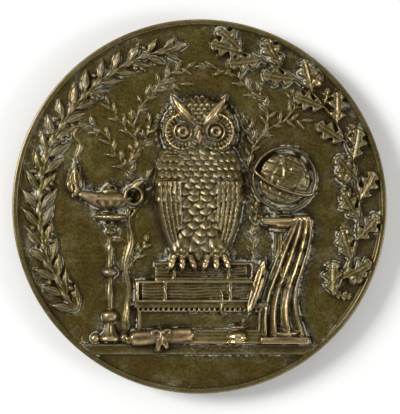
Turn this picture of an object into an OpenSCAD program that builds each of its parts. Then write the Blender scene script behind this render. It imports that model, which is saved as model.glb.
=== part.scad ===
// Round prize medal of cast bronze, about palm size, face up.
// X runs to the right and Y to the top of the face, and Z out of it.
// The origin is the middle of the back, on the surface that the medal lies on.
// The face shows an owl on two books and a plinth, between a burning lamp on its stand
// and a draped column that carries a globe, under a laurel and an oak branch.
// Medal and relief are one casting, so they are one solid.

/* [Planchet] */
// Diameter of the medal
medal_d = 68; // [62:1:80]
// Thickness at the rim
rim_t = 4.4; // [4:0.1:6]
// Width of the flat rim on the face
rim_w = 1.1; // [0.8:0.1:2]
// Height of the rim above the field
rim_h = 0.6; // [0.3:0.1:0.9]
// Width of the slope between rim and field
cove_w = 0.6; // [0.3:0.1:1]
// Rounding of the outer edge
edge_r = 0.35; // [0.2:0.05:0.6]
// Depth of the plain back below its own rim
back_h = 0.3; // [0.1:0.1:0.5]
// Width of the rim on the back
back_rim_w = 1.6; // [1:0.1:3]

/* [Ledge and plinth] */
// Height of the plain segment under the ledge
exergue_h = 5.4; // [4:0.1:7]
// Height of the ledge that everything stands on
ledge_h = 2.1; // [1.4:0.1:3]
// Relief of the ledge
ledge_rise = 0.9; // [0.5:0.1:1.2]
// Width of the plinth's step
step_w = 26.5; // [22:0.5:28]
// Height of the plinth's step
step_h = 1.9; // [1.4:0.1:2.6]
// Width of the plinth's block
block_w = 22.5; // [18:0.5:24]
// Height of the plinth's block
block_h = 4.4; // [3.4:0.1:6]
// Width of the plinth's cornice
cornice_w = 24.8; // [20:0.2:26]
// Height of the plinth's cornice
cornice_h = 1.2; // [0.8:0.1:1.8]
// Relief of the plinth's block
plinth_rise = 1.4; // [1:0.1:1.8]
// How far step and cornice stand out from the block
plinth_lip = 0.35; // [0.2:0.05:0.6]
// Margin round the block's sunk panel
panel_margin = 0.8; // [0.5:0.1:1.2]
// Depth of the sunk panel
panel_sink = 0.3; // [0.15:0.05:0.5]

/* [Books] */
// Length of the lower book
low_book_w = 21; // [17:0.5:23]
// Thickness of the lower book
low_book_h = 4; // [3:0.1:5]
// Relief of the lower book
low_book_rise = 2.1; // [1.5:0.1:2.6]
// Length of the upper book
top_book_w = 17.6; // [14:0.2:19]
// Thickness of the upper book
top_book_h = 3.3; // [2.4:0.1:4]
// Relief of the upper book
top_book_rise = 1.9; // [1.4:0.1:2.4]
// How far each book is pushed off the middle
book_shift = 0.7; // [0:0.1:1]
// Thickness of a cover
cover_t = 0.55; // [0.4:0.05:0.8]
// How far the pages lie back from the covers
page_sink = 0.4; // [0.2:0.05:0.6]

/* [Owl] */
// Height of the owl
owl_h = 29.5; // [24:0.5:31]
// Width of the owl
owl_w = 16.4; // [13:0.2:18]
// Relief of the owl's head
owl_rise = 3; // [2.2:0.1:3.2]
// How deep the owl sits in the upper cover
owl_seat = 0.15; // [0.1:0.05:0.4]
// Diameter of an eye
eye_d = 2.5; // [1.8:0.1:3]
// Diameter of the round face disc that holds an eye
face_d = 6.4; // [5:0.1:7.4]
// Distance between the eyes
eye_gap = 5.6; // [4.6:0.1:7]
// Length of an ear tuft
tuft_l = 7.1; // [5:0.1:8]
// Width of an ear tuft
tuft_w = 2.1; // [1.4:0.1:2.8]
// Length of the beak
beak_l = 3.2; // [2.4:0.1:4]
// Width of the beak
beak_w = 2.1; // [1.4:0.1:2.8]
// Distance between the legs
leg_gap = 6.1; // [5:0.1:8]
// Thickness of a leg
leg_d = 3.3; // [2.6:0.1:4]
// Length of a toe
toe_l = 3; // [2.2:0.1:3.6]
// Width of a toe
toe_w = 1.5; // [1:0.1:2]

/* [Lamp] */
// Gap between the ledge's end and the feet of stand and column
end_gap = 0.9; // [0.4:0.1:2]
// Width of the lamp stand's foot
stand_w = 7.2; // [6:0.2:8]
// Height of the lamp stand
stand_h = 23.4; // [18:0.2:26]
// Diameter of the stand's ball feet
ball_d = 1.9; // [1.4:0.1:2.4]
// Width of the stand's bell
bell_w = 4; // [3:0.1:5]
// Height of the stand's bell
bell_h = 3.6; // [2.8:0.1:4.6]
// Thickness of the stand's stem at its foot
stem_w = 1.5; // [1.1:0.1:2]
// Width of the pan that carries the lamp
pan_w = 7.2; // [6:0.2:8.4]
// Height of the pan
pan_h = 2.3; // [1.6:0.1:3]
// Length of the lamp's bowl
bowl_w = 8.6; // [7:0.2:10]
// Height of the lamp's bowl
bowl_h = 3.5; // [2.8:0.1:4.2]
// Relief of the lamp's bowl
lamp_rise = 2; // [1.5:0.1:2.4]
// Height of the lamp's foot
lamp_foot_h = 0.8; // [0.5:0.1:1.2]
// Width of the lamp's foot
lamp_foot_w = 3.4; // [2.6:0.1:4.4]
// Length of the spout
spout_l = 4.3; // [3.4:0.1:5]
// Thickness of the spout
spout_w = 2.4; // [1.8:0.1:2.8]
// Diameter of the handle ring
handle_d = 3.1; // [2.4:0.1:3.8]
// Thickness of the handle ring
handle_t = 0.9; // [0.6:0.1:1.2]
// Diameter of the lid's knob
knob_d = 1.1; // [0.8:0.1:1.5]
// Height of the flame
flame_h = 6.6; // [5:0.2:8]
// Width of the flame
flame_w = 2.7; // [2:0.1:3.4]

/* [Column and globe] */
// Width of the column's foot and abacus
column_foot_w = 8.8; // [8:0.2:10]
// Width of the shaft at its foot
shaft_w = 6.4; // [5:0.2:7]
// Height of the shaft
shaft_h = 17.6; // [14:0.2:20]
// Relief of the shaft
shaft_rise = 1.7; // [1.4:0.1:2]
// Number of flutes that show
flutes = 5; // [3:1:7]
// Height of the column's block foot, and of its abacus
block_foot_h = 1.3; // [0.9:0.1:1.8]
// Height of the rounded ring over the foot, and of the echinus
ring_h = 1.3; // [0.9:0.1:1.8]
// Diameter of the globe
globe_d = 9.6; // [8:0.2:11]
// Relief of the globe
globe_rise = 2.1; // [1.6:0.1:2.6]
// Gap between the globe and its rings
globe_gap = 0.5; // [0.4:0.1:1]
// Thickness of the globe's rings
globe_wire = 0.7; // [0.5:0.1:1]
// Height of the globe's foot
globe_foot_h = 1.7; // [1.2:0.1:2.4]
// Width of the globe's foot
globe_foot_w = 2.9; // [2:0.1:4]
// Lean of the globe's pole from the upright, in degrees
globe_lean = 23; // [10:1:35]

/* [Drapery] */
// How far the cloth lies above the abacus
cloth_over = 0.35; // [0.2:0.05:0.6]
// Gap between the cloth's hem and the ledge
cloth_gap = 0.65; // [0.4:0.05:2]
// Width of the cloth where it is widest
cloth_w = 9.4; // [8:0.2:11]
// Relief of the cloth's highest fold
cloth_rise = 2.9; // [2.8:0.1:3.2]

/* [Scroll and pen] */
// Length of the scroll
scroll_l = 11.6; // [9:0.2:13]
// Diameter of the scroll
scroll_d = 2.6; // [2:0.1:3]
// Relief of the scroll
scroll_rise = 2.5; // [2.2:0.1:3]
// Distance from the medal's middle to the scroll's near end
scroll_place = 1; // [0:0.2:3]
// Width of the band round the scroll
band_w = 0.9; // [0.6:0.1:1.4]
// Thickness of the band round the scroll
band_t = 0.2; // [0.15:0.05:0.3]
// Width of the ink pot
pot_w = 4.4; // [3.6:0.1:5]
// Height of the ink pot
pot_h = 3.3; // [2.6:0.1:4]
// Relief of the ink pot
pot_rise = 2.7; // [2.2:0.1:3]
// Distance from the medal's middle to the ink pot's middle
pot_place = 6.9; // [5:0.1:8]
// Length of the quill
quill_l = 13.6; // [11:0.2:15]
// Width of the quill
quill_w = 2.3; // [1.8:0.1:2.8]

/* [Branches] */
// Distance from the branches' stems to the field's edge
branch_inset = 3.3; // [2.8:0.1:4]
// Thickness of a stem
stem_d = 0.9; // [0.6:0.1:1.2]
// Relief of the leaves
leaf_rise = 1; // [0.6:0.1:1.3]
// Gap between the tips of the two branches, in degrees
top_gap = 7; // [4:1:16]
// Angle over which the laurel runs, in degrees
laurel_sweep = 117; // [90:1:130]
// Spacing of the laurel leaves along the stem
laurel_pitch = 3.2; // [2.8:0.1:4]
// Length of a laurel leaf
laurel_l = 5; // [4:0.1:6]
// Width of a laurel leaf
laurel_w = 1.5; // [1.2:0.1:2]
// Diameter of a berry
berry_d = 1.1; // [0.8:0.1:1.4]
// Angle over which the oak runs, in degrees
oak_sweep = 108; // [90:1:120]
// Spacing of the oak leaves along the stem
oak_pitch = 3.5; // [3:0.1:5]
// Length of an oak leaf
oak_l = 6.2; // [5:0.1:7]
// Width of an oak leaf
oak_w = 3.8; // [3:0.1:4.6]
// Width of an acorn
acorn_w = 2.1; // [1.6:0.1:2.6]
// Length of an acorn
acorn_l = 3.2; // [2.4:0.1:4]

/* [Hidden] */
$fn = 48;

bronze = "#6b5c38";
worn_bronze = "#8f7a48";

// How deep each raised form is rooted in the planchet
root = 0.6;
medal_r = medal_d / 2;
field_r = medal_r - rim_w - cove_w;
field_z = rim_t - rim_h;

// Heights on the face, each seated on the one below
ledge_top = -field_r + exergue_h + ledge_h;
ledge_half = sqrt(field_r * field_r - ledge_top * ledge_top);
block_y = ledge_top + step_h;
cornice_y = block_y + block_h;
plinth_top = cornice_y + cornice_h;
top_book_y = plinth_top + low_book_h;
owl_y = top_book_y + top_book_h - owl_seat;

// Stand and column take the ledge's two ends
stand_x = -(ledge_half - end_gap - stand_w / 2);
column_x = ledge_half - end_gap - column_foot_w / 2;
shaft_y = ledge_top + block_foot_h + ring_h;
echinus_y = shaft_y + shaft_h;
abacus_y = echinus_y + ring_h;
column_top = abacus_y + block_foot_h;
pan_y = ledge_top + stand_h;
cloth_top = column_top + cloth_over;
cloth_l = cloth_top - cloth_gap - ledge_top;

// Axes of the column's and the pan's round forms, sunk below the field, and the pot's
shaft_axis = shaft_rise - shaft_w / 2;
block_rise = shaft_axis + 0.46 * column_foot_w;
pan_axis = lamp_rise - pan_w / 2;
pot_axis = pot_rise - pot_w / 2;

// Both stems lie on one circle; the laurel ends left of the top and the oak right of it
branch_r = field_r - branch_inset;
laurel_end = 90 + top_gap / 2 + leaf_angle(laurel_l);
laurel_start = laurel_end + laurel_sweep;
oak_end = 90 - top_gap / 2 - leaf_angle(oak_l);
oak_start = oak_end - oak_sweep;

// Sections of the owl from the crown down: y as a share of owl_h, half width as a share of owl_w,
// relief as a share of owl_rise, and depth of the wing ribs there
head_sections = [
  [1, 0.12, 0.46, 0], [0.98, 0.24, 0.66, 0], [0.94, 0.34, 0.82, 0], [0.88, 0.405, 0.93, 0],
  [0.81, 0.43, 0.97, 0], [0.74, 0.41, 0.94, 0], [0.68, 0.34, 0.84, 0], [0.64, 0.22, 0.6, 0]
];
body_sections = [
  [0.76, 0.22, 0.66, 0], [0.71, 0.37, 0.82, 0.2], [0.63, 0.46, 0.90, 0.6], [0.52, 0.495, 0.93, 1],
  [0.40, 0.50, 0.92, 1.1], [0.28, 0.465, 0.87, 1.2], [0.16, 0.40, 0.78, 1.3], [0.06, 0.30, 0.66, 1.3],
  [0, 0.20, 0.48, 1]
];
// Outline across a section, from its outer edge to the middle: where across, relief, rib depth
body_profile = [
  [-1, 0.22, 0], [-0.95, 0.46, 0.05], [-0.86, 0.58, -0.09], [-0.80, 0.66, 0.05], [-0.71, 0.74, -0.09],
  [-0.65, 0.79, 0.05], [-0.56, 0.84, -0.09], [-0.50, 0.87, 0.06], [-0.43, 0.89, 0.03],
  [-0.39, 0.90, -0.07], [-0.25, 0.96, -0.04], [-0.1, 1, 0]
];
head_profile = [
  [-1, 0.25, 0], [-0.93, 0.48, 0], [-0.78, 0.70, 0], [-0.56, 0.86, 0], [-0.3, 0.96, 0], [-0.1, 1, 0]
];
// Toes: place across the leg as a share of toe_w, and turn from straight down
owl_toes = [[-0.93, -14], [0, 0], [0.93, 14]];
// Heights of the eyes, the beak's root, the tufts' roots and the legs, as shares of owl_h
eye_y = 0.80;
beak_y = 0.815;
tuft_y = 0.84;
leg_y = 0.08;

// Blades: where along the length, half width, both as shares
laurel_blade = [[0, 0.08], [0.28, 0.46], [0.62, 0.42], [1, 0.04]];
oak_blade = [[0, 0.05], [0.16, 0.30], [0.27, 0.18], [0.46, 0.50], [0.58, 0.27], [0.80, 0.42], [1, 0.12]];
quill_blade = [[0, 0.05], [0.24, 0.06], [0.32, 0.36], [0.6, 0.50], [0.86, 0.40], [1, 0.05]];
flame_blade = [[0, 0.2], [0.2, 0.44], [0.36, 0.50], [0.62, 0.30], [0.84, 0.12], [1, 0.03]];
tuft_blade = [[0, 0.24], [0.35, 0.50], [0.75, 0.34], [1, 0.05]];
beak_blade = [[0, 0.34], [0.35, 0.50], [0.8, 0.26], [1, 0.06]];
toe_blade = [[0, 0.34], [0.4, 0.50], [0.8, 0.34], [1, 0.12]];

// Turned outlines: height as a share of the piece's height, half width as a share of its width
bell_turning = [[0, 0.5], [0.2, 0.5], [0.34, 0.4], [0.7, 0.26], [1, 0.2]];
stem_turning = [
  [0, 0.5], [0.04, 0.95], [0.1, 1], [0.14, 0.5], [0.18, 0.42], [0.46, 0.4], [0.5, 0.8],
  [0.54, 0.8], [0.58, 0.4], [0.9, 0.44], [1, 0.9]
];
pan_turning = [[0, 0.1], [0.3, 0.2], [0.55, 0.44], [0.75, 0.5], [1, 0.5]];
spout_turning = [[0, 0.5], [0.8, 0.3], [0.9, 0.4], [1, 0.4]];
ring_turning = [[0, 0.42], [0.3, 0.46], [0.65, 0.45], [1, 0.38]];
echinus_turning = [[0, 0.34], [0.2, 0.35], [0.28, 0.33], [0.6, 0.4], [1, 0.46]];
nut_turning = [[0, 0.3], [0.25, 0.48], [0.5, 0.5], [0.8, 0.34], [1, 0.08]];
cup_turning = [[0, 0.3], [0.3, 0.56], [0.75, 0.58], [1, 0.5]];
pot_turning = [[0, 0.42], [0.1, 0.5], [0.55, 0.47], [0.72, 0.32], [0.82, 0.32], [0.9, 0.42], [1, 0.42]];
globe_stem_turning = [[0, 0.36], [0.3, 0.22], [0.66, 0.16], [1, 0.36]];

// Cloth sections from the abacus down: where along cloth_l, then the middle's shift to the right,
// the half width, and how far the folds lie over, all as shares of cloth_w, the height there as
// a share of cloth_rise, and how deep the folds cut into it. Both ends dip under the field.
cloth_sections = [
  [0, 0.34, 0.15, 0, -0.1, 0.2],
  [0.015, 0.34, 0.16, 0, 1, 0.2],
  [0.085, 0.32, 0.21, 0.02, 0.93, 0.35],
  [0.24, 0.21, 0.29, 0.05, 0.75, 1],
  [0.42, 0.06, 0.32, 0.07, 0.64, 1],
  [0.60, -0.08, 0.35, 0.05, 0.65, 1],
  [0.78, -0.12, 0.41, 0.02, 0.77, 1],
  [0.92, -0.08, 0.47, 0, 0.85, 1],
  [0.99, -0.06, 0.50, 0, 0.86, 1],
  [1, -0.06, 0.49, 0, -0.1, 1]
];
// Cloth folds across a section: where across, and share of the section's height
cloth_folds = [
  [0, 0.30], [0.07, 0.66], [0.15, 0.78], [0.23, 0.52], [0.30, 0.66], [0.38, 0.96], [0.46, 0.92],
  [0.54, 0.56], [0.62, 0.62], [0.70, 0.90], [0.78, 0.86], [0.86, 0.50], [0.93, 0.60], [1, 0.30]
];

// Angle that a leaf's length takes up on the branches' circle
function leaf_angle(l) = asin(l / branch_r);

// Faces that join rings of points, one after another, into a closed skin
function loft_faces(rings, n) = concat(
  [[for (j = [0:n - 1]) j]],
  [for (i = [0:rings - 2], j = [0:n - 1], half = [0, 1])
    let (a = i * n + j, b = i * n + (j + 1) % n)
    half == 0 ? [a, a + n, b + n] : [a, b + n, b]],
  [[for (j = [n - 1:-1:0]) (rings - 1) * n + j]]
);

module loft(rings) {
  n = len(rings[0]);
  polyhedron(points = [for (ring = rings, p = ring) p], faces = loft_faces(len(rings), n));
}

// Long raised form with a ridge along its middle, such as a leaf, a feather or a flame.
// It starts at the origin and points along X, and its tip is bent to the left by bend.
module blade(outline, l, w, rise, bend = 0, edge = 0.55) {
  loft([for (s = outline)
    let (x = s[0] * l, y = bend * s[0] * s[0], half = s[1] * w, top = rise * (0.6 + 0.4 * sin(180 * s[0])))
    [[x, y - half, -root], [x, y + half, -root], [x, y + half, edge * top], [x, y, top],
      [x, y - half, edge * top]]]);
}

module dome(w, h, rise) scale([w / 2, h / 2, rise]) sphere(r = 1);

module slab(w, h, rise) translate([-w / 2, 0, -root]) cube([w, h, rise + root]);

// Round cap with its foot circle on the field
module cap(d, rise) {
  r = (d * d / 4 + rise * rise) / (2 * rise);
  intersection() {
    translate([0, 0, rise - r]) sphere(r = r);
    translate([-d, -d, -root]) cube([2 * d, 2 * d, root + rise + 1]);
  }
}

// Upright rod with a round top
module post(d, rise) {
  translate([0, 0, rise - d / 2]) sphere(d = d);
  translate([0, 0, -root]) cylinder(d = d, h = root + rise - d / 2);
}

// Solid turned about Y
module turned(outline, w, h) {
  points = concat([[0, 0]], [for (s = outline) [s[1] * w, s[0] * h]], [[0, h]]);
  rotate([-90, 0, 0]) rotate_extrude() polygon(points);
}

// Turned solids, or other children, sunk to an axis below the field and cut off under it
module sunk(axis, w, h) {
  intersection() {
    translate([0, 0, axis]) children();
    translate([-w, 0, -root]) cube([2 * w, h, root + w]);
  }
}

// Ridge of stem, wire or rim that follows a circle, from one angle to another, with its foot at z = 0
module ridge_arc(d, wire, rise, from = 0, to = 360) {
  rotate([0, 0, from]) rotate_extrude(angle = to - from) translate([d / 2, 0])
    polygon([[-wire / 2, -root], [wire / 2, -root], [wire / 2, rise * 0.5], [wire / 5, rise],
      [-wire / 5, rise], [-wire / 2, rise * 0.5]]);
}

module planchet() {
  back_r = medal_r - back_rim_w;
  round_share = 0.3;
  color(bronze) rotate_extrude() polygon([
    [0, back_h],
    [back_r - back_h, back_h],
    [back_r, 0],
    [medal_r - edge_r, 0],
    [medal_r - round_share * edge_r, round_share * edge_r],
    [medal_r, edge_r],
    [medal_r, rim_t - edge_r],
    [medal_r - round_share * edge_r, rim_t - round_share * edge_r],
    [medal_r - edge_r, rim_t],
    [field_r + cove_w, rim_t],
    [field_r + round_share * cove_w, field_z + round_share * rim_h],
    [field_r, field_z],
    [0, field_z]
  ]);
}

module ledge() {
  lip = ledge_h / 4;
  face_rise = 0.72 * ledge_rise;
  color(bronze) intersection() {
    translate([0, 0, -root]) cylinder(r = field_r + cove_w / 2, h = root + ledge_rise);
    union() {
      translate([0, ledge_top - ledge_h, 0]) slab(medal_d, ledge_h, face_rise);
      translate([0, ledge_top - lip, 0]) slab(medal_d, lip, ledge_rise);
    }
  }
}

module plinth() {
  lip_rise = plinth_rise + plinth_lip;
  color(bronze) {
    translate([0, ledge_top, 0]) slab(step_w, step_h, lip_rise);
    difference() {
      translate([0, block_y, 0]) slab(block_w, block_h, plinth_rise);
      translate([0, block_y + panel_margin, plinth_rise + root - panel_sink])
        slab(block_w - 2 * panel_margin, block_h - 2 * panel_margin, plinth_rise);
    }
    translate([0, cornice_y, 0]) slab(cornice_w, cornice_h, lip_rise);
  }
}

// Book lying flat, seen from its lower end, with its spine on the left, or on the right if side is -1
module book(w, h, rise, side) {
  spine_bulge = 0.28;
  color(bronze) mirror([side < 0 ? 1 : 0, 0, 0]) {
    for (y = [0, h - cover_t]) translate([0, y, 0]) slab(w, cover_t, rise);
    translate([-cover_t, cover_t / 2, 0]) slab(w - 2 * cover_t, h - cover_t, rise - page_sink);
    translate([-w / 2, h / 2, -root]) scale([spine_bulge, 1, 1]) cylinder(d = h, h = rise + root);
  }
}

module books() {
  translate([-book_shift, plinth_top, 0]) book(low_book_w, low_book_h, low_book_rise, 1);
  translate([book_shift, top_book_y, 0]) book(top_book_w, top_book_h, top_book_rise, -1);
}

// Shell through the given sections, with the same outline to either side of the middle
module owl_shell(sections, profile) {
  last = len(profile) - 1;
  loft([for (s = sections)
    let (y = s[0] * owl_h, half = s[1] * owl_w, top = s[2] * owl_rise)
    concat(
      [[-half, y, -root], [half, y, -root]],
      [for (p = profile) [-p[0] * half, y, top * (p[1] + s[3] * p[2])]],
      [for (i = [last:-1:0]) let (p = profile[i]) [p[0] * half, y, top * (p[1] + s[3] * p[2])]]
    )]);
}

module owl() {
  brow_turn = 43;
  eye_r = eye_d / 2;
  eye_rise = 1.1 * owl_rise;
  disc_rise = 1.02 * owl_rise;
  leg_rise = 0.8 * owl_rise;
  toe_rise = 0.92 * owl_rise;
  color(worn_bronze) translate([0, owl_y, 0]) {
    owl_shell(body_sections, body_profile);
    owl_shell(head_sections, head_profile);
    for (side = [0, 1]) mirror([side, 0, 0]) {
      translate([leg_gap / 2, leg_y * owl_h, 0]) post(leg_d, leg_rise);
      for (t = owl_toes) translate([leg_gap / 2 + t[0] * toe_w, toe_l / 2, 0]) rotate([0, 0, t[1] - 90])
        blade(toe_blade, toe_l, toe_w, toe_rise, 0, 0.8);
      translate([eye_gap / 2, eye_y * owl_h, 0]) cap(face_d, disc_rise);
      translate([eye_gap / 2, eye_y * owl_h, eye_rise - eye_r]) sphere(r = eye_r);
      translate([tuft_w / 4, tuft_y * owl_h, 0]) rotate([0, 0, brow_turn])
        blade(tuft_blade, tuft_l, tuft_w, eye_rise, tuft_l / 6, 0.9);
    }
    translate([0, beak_y * owl_h, 0]) rotate([0, 0, -90])
      blade(beak_blade, beak_l, beak_w, eye_rise, 0, 0.88);
  }
}

module lamp_stand() {
  base_h = 0.45 * ball_d;
  base_rise = 0.4 * ball_d;
  bell_y = base_h / 2;
  stem_y = bell_y + 0.9 * bell_h;
  pan_low = stand_h - pan_h;
  color(bronze) translate([stand_x, ledge_top, 0]) {
    slab(stand_w - ball_d, base_h, base_rise);
    translate([0, bell_y, 0]) turned(bell_turning, bell_w, bell_h);
    for (side = [-1, 1]) translate([side * (stand_w - ball_d) / 2, base_h, 0]) post(ball_d, 0.8 * ball_d);
    translate([0, stem_y, 0]) turned(stem_turning, stem_w, pan_low + pan_h / 4 - stem_y);
    sunk(pan_axis, pan_w, stand_h) translate([0, pan_low, 0]) turned(pan_turning, pan_w, pan_h);
  }
}

module lamp() {
  spout_turn = 160;
  spout_at = [-0.28 * bowl_w, 0.52 * bowl_h + lamp_foot_h];
  spout_z = lamp_rise / 4;
  tip = spout_at + spout_l * [cos(spout_turn), sin(spout_turn)];
  lid_y = lamp_foot_h + 0.9 * bowl_h;
  lid_d = 2 * knob_d;
  lid_z = knob_d / 3;
  color(worn_bronze) translate([stand_x, pan_y, 0]) {
    slab(lamp_foot_w, lamp_foot_h + bowl_h / 4, 0.6 * lamp_rise);
    translate([0, lamp_foot_h + bowl_h / 2, 0]) dome(bowl_w, bowl_h, lamp_rise);
    translate([spout_at[0], spout_at[1], spout_z]) rotate([0, 0, spout_turn - 90])
      turned(spout_turning, spout_w, spout_l);
    translate(tip) rotate([0, 0, 90])
      blade(flame_blade, flame_h, flame_w, 0.75 * lamp_rise, flame_w / 10);
    translate([bowl_w / 2, lamp_foot_h + 0.72 * bowl_h, 0])
      ridge_arc(handle_d, handle_t, 0.8 * lamp_rise);
    translate([0, lid_y, lid_z]) sphere(d = lid_d);
    translate([0, lid_y + 0.55 * lid_d, lid_z]) sphere(d = knob_d);
  }
}

module column() {
  flute_w = 0.66 * shaft_w / flutes;
  top_share = 0.88;
  flute_spread = 130;
  column_h = column_top - ledge_top;
  shaft_low = shaft_y - ledge_top;
  shaft_r = shaft_w / 2;
  color(bronze) translate([column_x, 0, 0]) {
    translate([0, ledge_top, 0]) slab(column_foot_w, block_foot_h, block_rise);
    translate([0, ledge_top, 0]) difference() {
      sunk(shaft_axis, column_foot_w, column_h) {
        translate([0, block_foot_h, 0]) turned(ring_turning, column_foot_w, ring_h);
        translate([0, shaft_low, 0]) turned([[0, 0.5], [1, 0.5 * top_share]], shaft_w, shaft_h);
        translate([0, echinus_y - ledge_top, 0]) turned(echinus_turning, column_foot_w, ring_h);
      }
      for (i = [0:flutes - 1]) let (turn = (i - (flutes - 1) / 2) * flute_spread / flutes)
        translate([shaft_r * sin(turn), shaft_low + flute_w, shaft_axis + shaft_r * cos(turn)])
          rotate([-90, 0, 0]) cylinder(d = flute_w, h = shaft_h - 2 * flute_w, $fn = 16);
    }
    translate([0, abacus_y, 0]) slab(column_foot_w, block_foot_h, block_rise);
  }
}

// Tilted ring round the globe, seen as its nearer half
module horizon(d) {
  steps = 10;
  sag = 0.16 * d;
  loft([for (i = [0:steps])
    let (turn = 180 + 180 * i / steps, x = d / 2 * cos(turn), y = sag * sin(turn),
      top = 0.2 * globe_rise - 0.98 * globe_rise * sin(turn))
    [[x, y - globe_wire / 2, -root], [x, y - globe_wire / 2, top + 0.2 * globe_rise],
      [x, y + globe_wire / 2, top + 0.2 * globe_rise], [x, y + globe_wire / 2, -root]]]);
}

module globe() {
  ring_d = globe_d + 2 * globe_gap + globe_wire;
  base_h = 0.3 * globe_foot_h;
  base_rise = 0.8 * globe_rise;
  stem_z = globe_foot_w / 12;
  color(worn_bronze) translate([column_x, column_top, 0]) {
    slab(globe_foot_w, base_h, base_rise);
    translate([0, base_h / 2, stem_z])
      turned(globe_stem_turning, globe_foot_w, globe_foot_h - base_h / 2);
    translate([0, globe_foot_h + globe_gap + globe_d / 2, 0]) rotate([0, 0, -globe_lean]) {
      cap(globe_d, globe_rise);
      ridge_arc(ring_d, globe_wire, 0.6 * globe_rise);
      translate([0, ring_d / 2, 0.5 * globe_wire]) sphere(d = 2.2 * globe_wire);
      horizon(ring_d + globe_wire);
    }
  }
}

// Cloth thrown over the abacus, falling across the shaft to the ledge
module drapery() {
  color(worn_bronze) translate([column_x, cloth_top, 0])
    loft([for (s = cloth_sections)
      let (y = -s[0] * cloth_l, middle = s[1] * cloth_w, half = s[2] * cloth_w)
      concat(
        [[middle - half, y, -root], [middle + half, y, -root]],
        [for (f = cloth_folds)
          [middle + half * (1 - 2 * f[0]) + s[3] * cloth_w * sin(180 * f[0]), y,
            cloth_rise * s[4] * (1 - s[5] * (1 - f[1]))]]
      )]);
}

module scroll() {
  turn = 4;
  lift = scroll_rise - scroll_d / 2;
  middle = -scroll_l / 2 - scroll_place;
  color(worn_bronze) translate([middle, ledge_top + scroll_d / 2, 0]) rotate([0, 0, turn]) {
    translate([0, 0, lift]) rotate([0, 90, 0]) cylinder(d = scroll_d, h = scroll_l, center = true);
    translate([0, -scroll_d / 2, 0]) slab(scroll_l, scroll_d, lift);
    translate([0, 0, lift]) rotate([0, 90, 0])
      cylinder(d = scroll_d + 2 * band_t, h = band_w, center = true);
  }
}

module ink_pot() {
  quill_turn = 64;
  color(worn_bronze) translate([pot_place, ledge_top, 0]) {
    translate([0, 0, pot_axis]) turned(pot_turning, pot_w, pot_h);
    translate([0.1 * pot_w, 0.8 * pot_h, 0]) rotate([0, 0, quill_turn])
      blade(quill_blade, quill_l, quill_w, pot_rise, 0.12 * quill_l, 0.9);
  }
}

module laurel_branch() {
  count = floor(laurel_sweep * PI / 180 * branch_r / laurel_pitch);
  splay = 27;
  inner_share = 0.86;
  berry_at = [-0.94 * laurel_w, -0.5 * laurel_w];
  color(bronze) {
    ridge_arc(2 * branch_r, stem_d, 0.7 * leaf_rise, laurel_end, laurel_start);
    for (i = [0:count])
      rotate([0, 0, laurel_start - laurel_sweep * i / count]) translate([branch_r, 0, 0]) {
        for (side = [-1, 1]) translate([side * stem_d / 4, 0, 0]) rotate([0, 0, -90 + side * splay])
          blade(laurel_blade, laurel_l, laurel_w, leaf_rise * (side > 0 ? 1 : inner_share),
            side * laurel_l / 10);
        if (i % 3 == 1) translate(berry_at) sphere(d = berry_d);
      }
    rotate([0, 0, laurel_end]) translate([branch_r, 0, 0]) rotate([0, 0, -90])
      blade(laurel_blade, laurel_l, laurel_w, leaf_rise);
  }
}

module acorn() {
  turned(nut_turning, acorn_w, acorn_l);
  turned(cup_turning, acorn_w, 0.4 * acorn_l);
}

module oak_branch() {
  count = floor(oak_sweep * PI / 180 * branch_r / oak_pitch);
  splay = 34;
  acorn_turn = 66;
  color(bronze) {
    ridge_arc(2 * branch_r, stem_d, 0.7 * leaf_rise, oak_start, oak_end);
    for (i = [0:count])
      rotate([0, 0, oak_start + oak_sweep * i / count]) translate([branch_r, 0, 0])
        let (side = i % 2 == 0 ? 1 : -1) {
          rotate([0, 0, 90 + side * splay])
            blade(oak_blade, oak_l, oak_w, leaf_rise, -side * oak_l / 16);
          if (i % 5 == 1) rotate([0, 0, side * acorn_turn]) translate([0, 1.2 * stem_d, 0]) acorn();
        }
    rotate([0, 0, oak_end]) translate([branch_r, 0, 0]) rotate([0, 0, 90])
      blade(oak_blade, oak_l, oak_w, leaf_rise);
  }
}

module relief() {
  ledge();
  plinth();
  books();
  owl();
  lamp_stand();
  lamp();
  column();
  globe();
  drapery();
  scroll();
  ink_pot();
  laurel_branch();
  oak_branch();
}

module medallion() {
  planchet();
  translate([0, 0, field_z]) relief();
}

medallion();
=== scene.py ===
"""Looks of the bronze prize medallion.

The relief is modelled in raised forms, in millimetres over the field. Its heights are then read off
from above and softened, as casting and handling soften them, and they shape one closed skin with the
planchet's rim, edge and back. The skin carries how hollow and how rubbed each place is, and the
bronze takes its patina, residue and bright wear from that, with painted shade in the hollows and
painted highlight on the crests.
"""

import math
import random

import bmesh
import bpy
import numpy as np
from mathutils import Matrix, Vector
from mathutils.bvhtree import BVHTree


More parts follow.
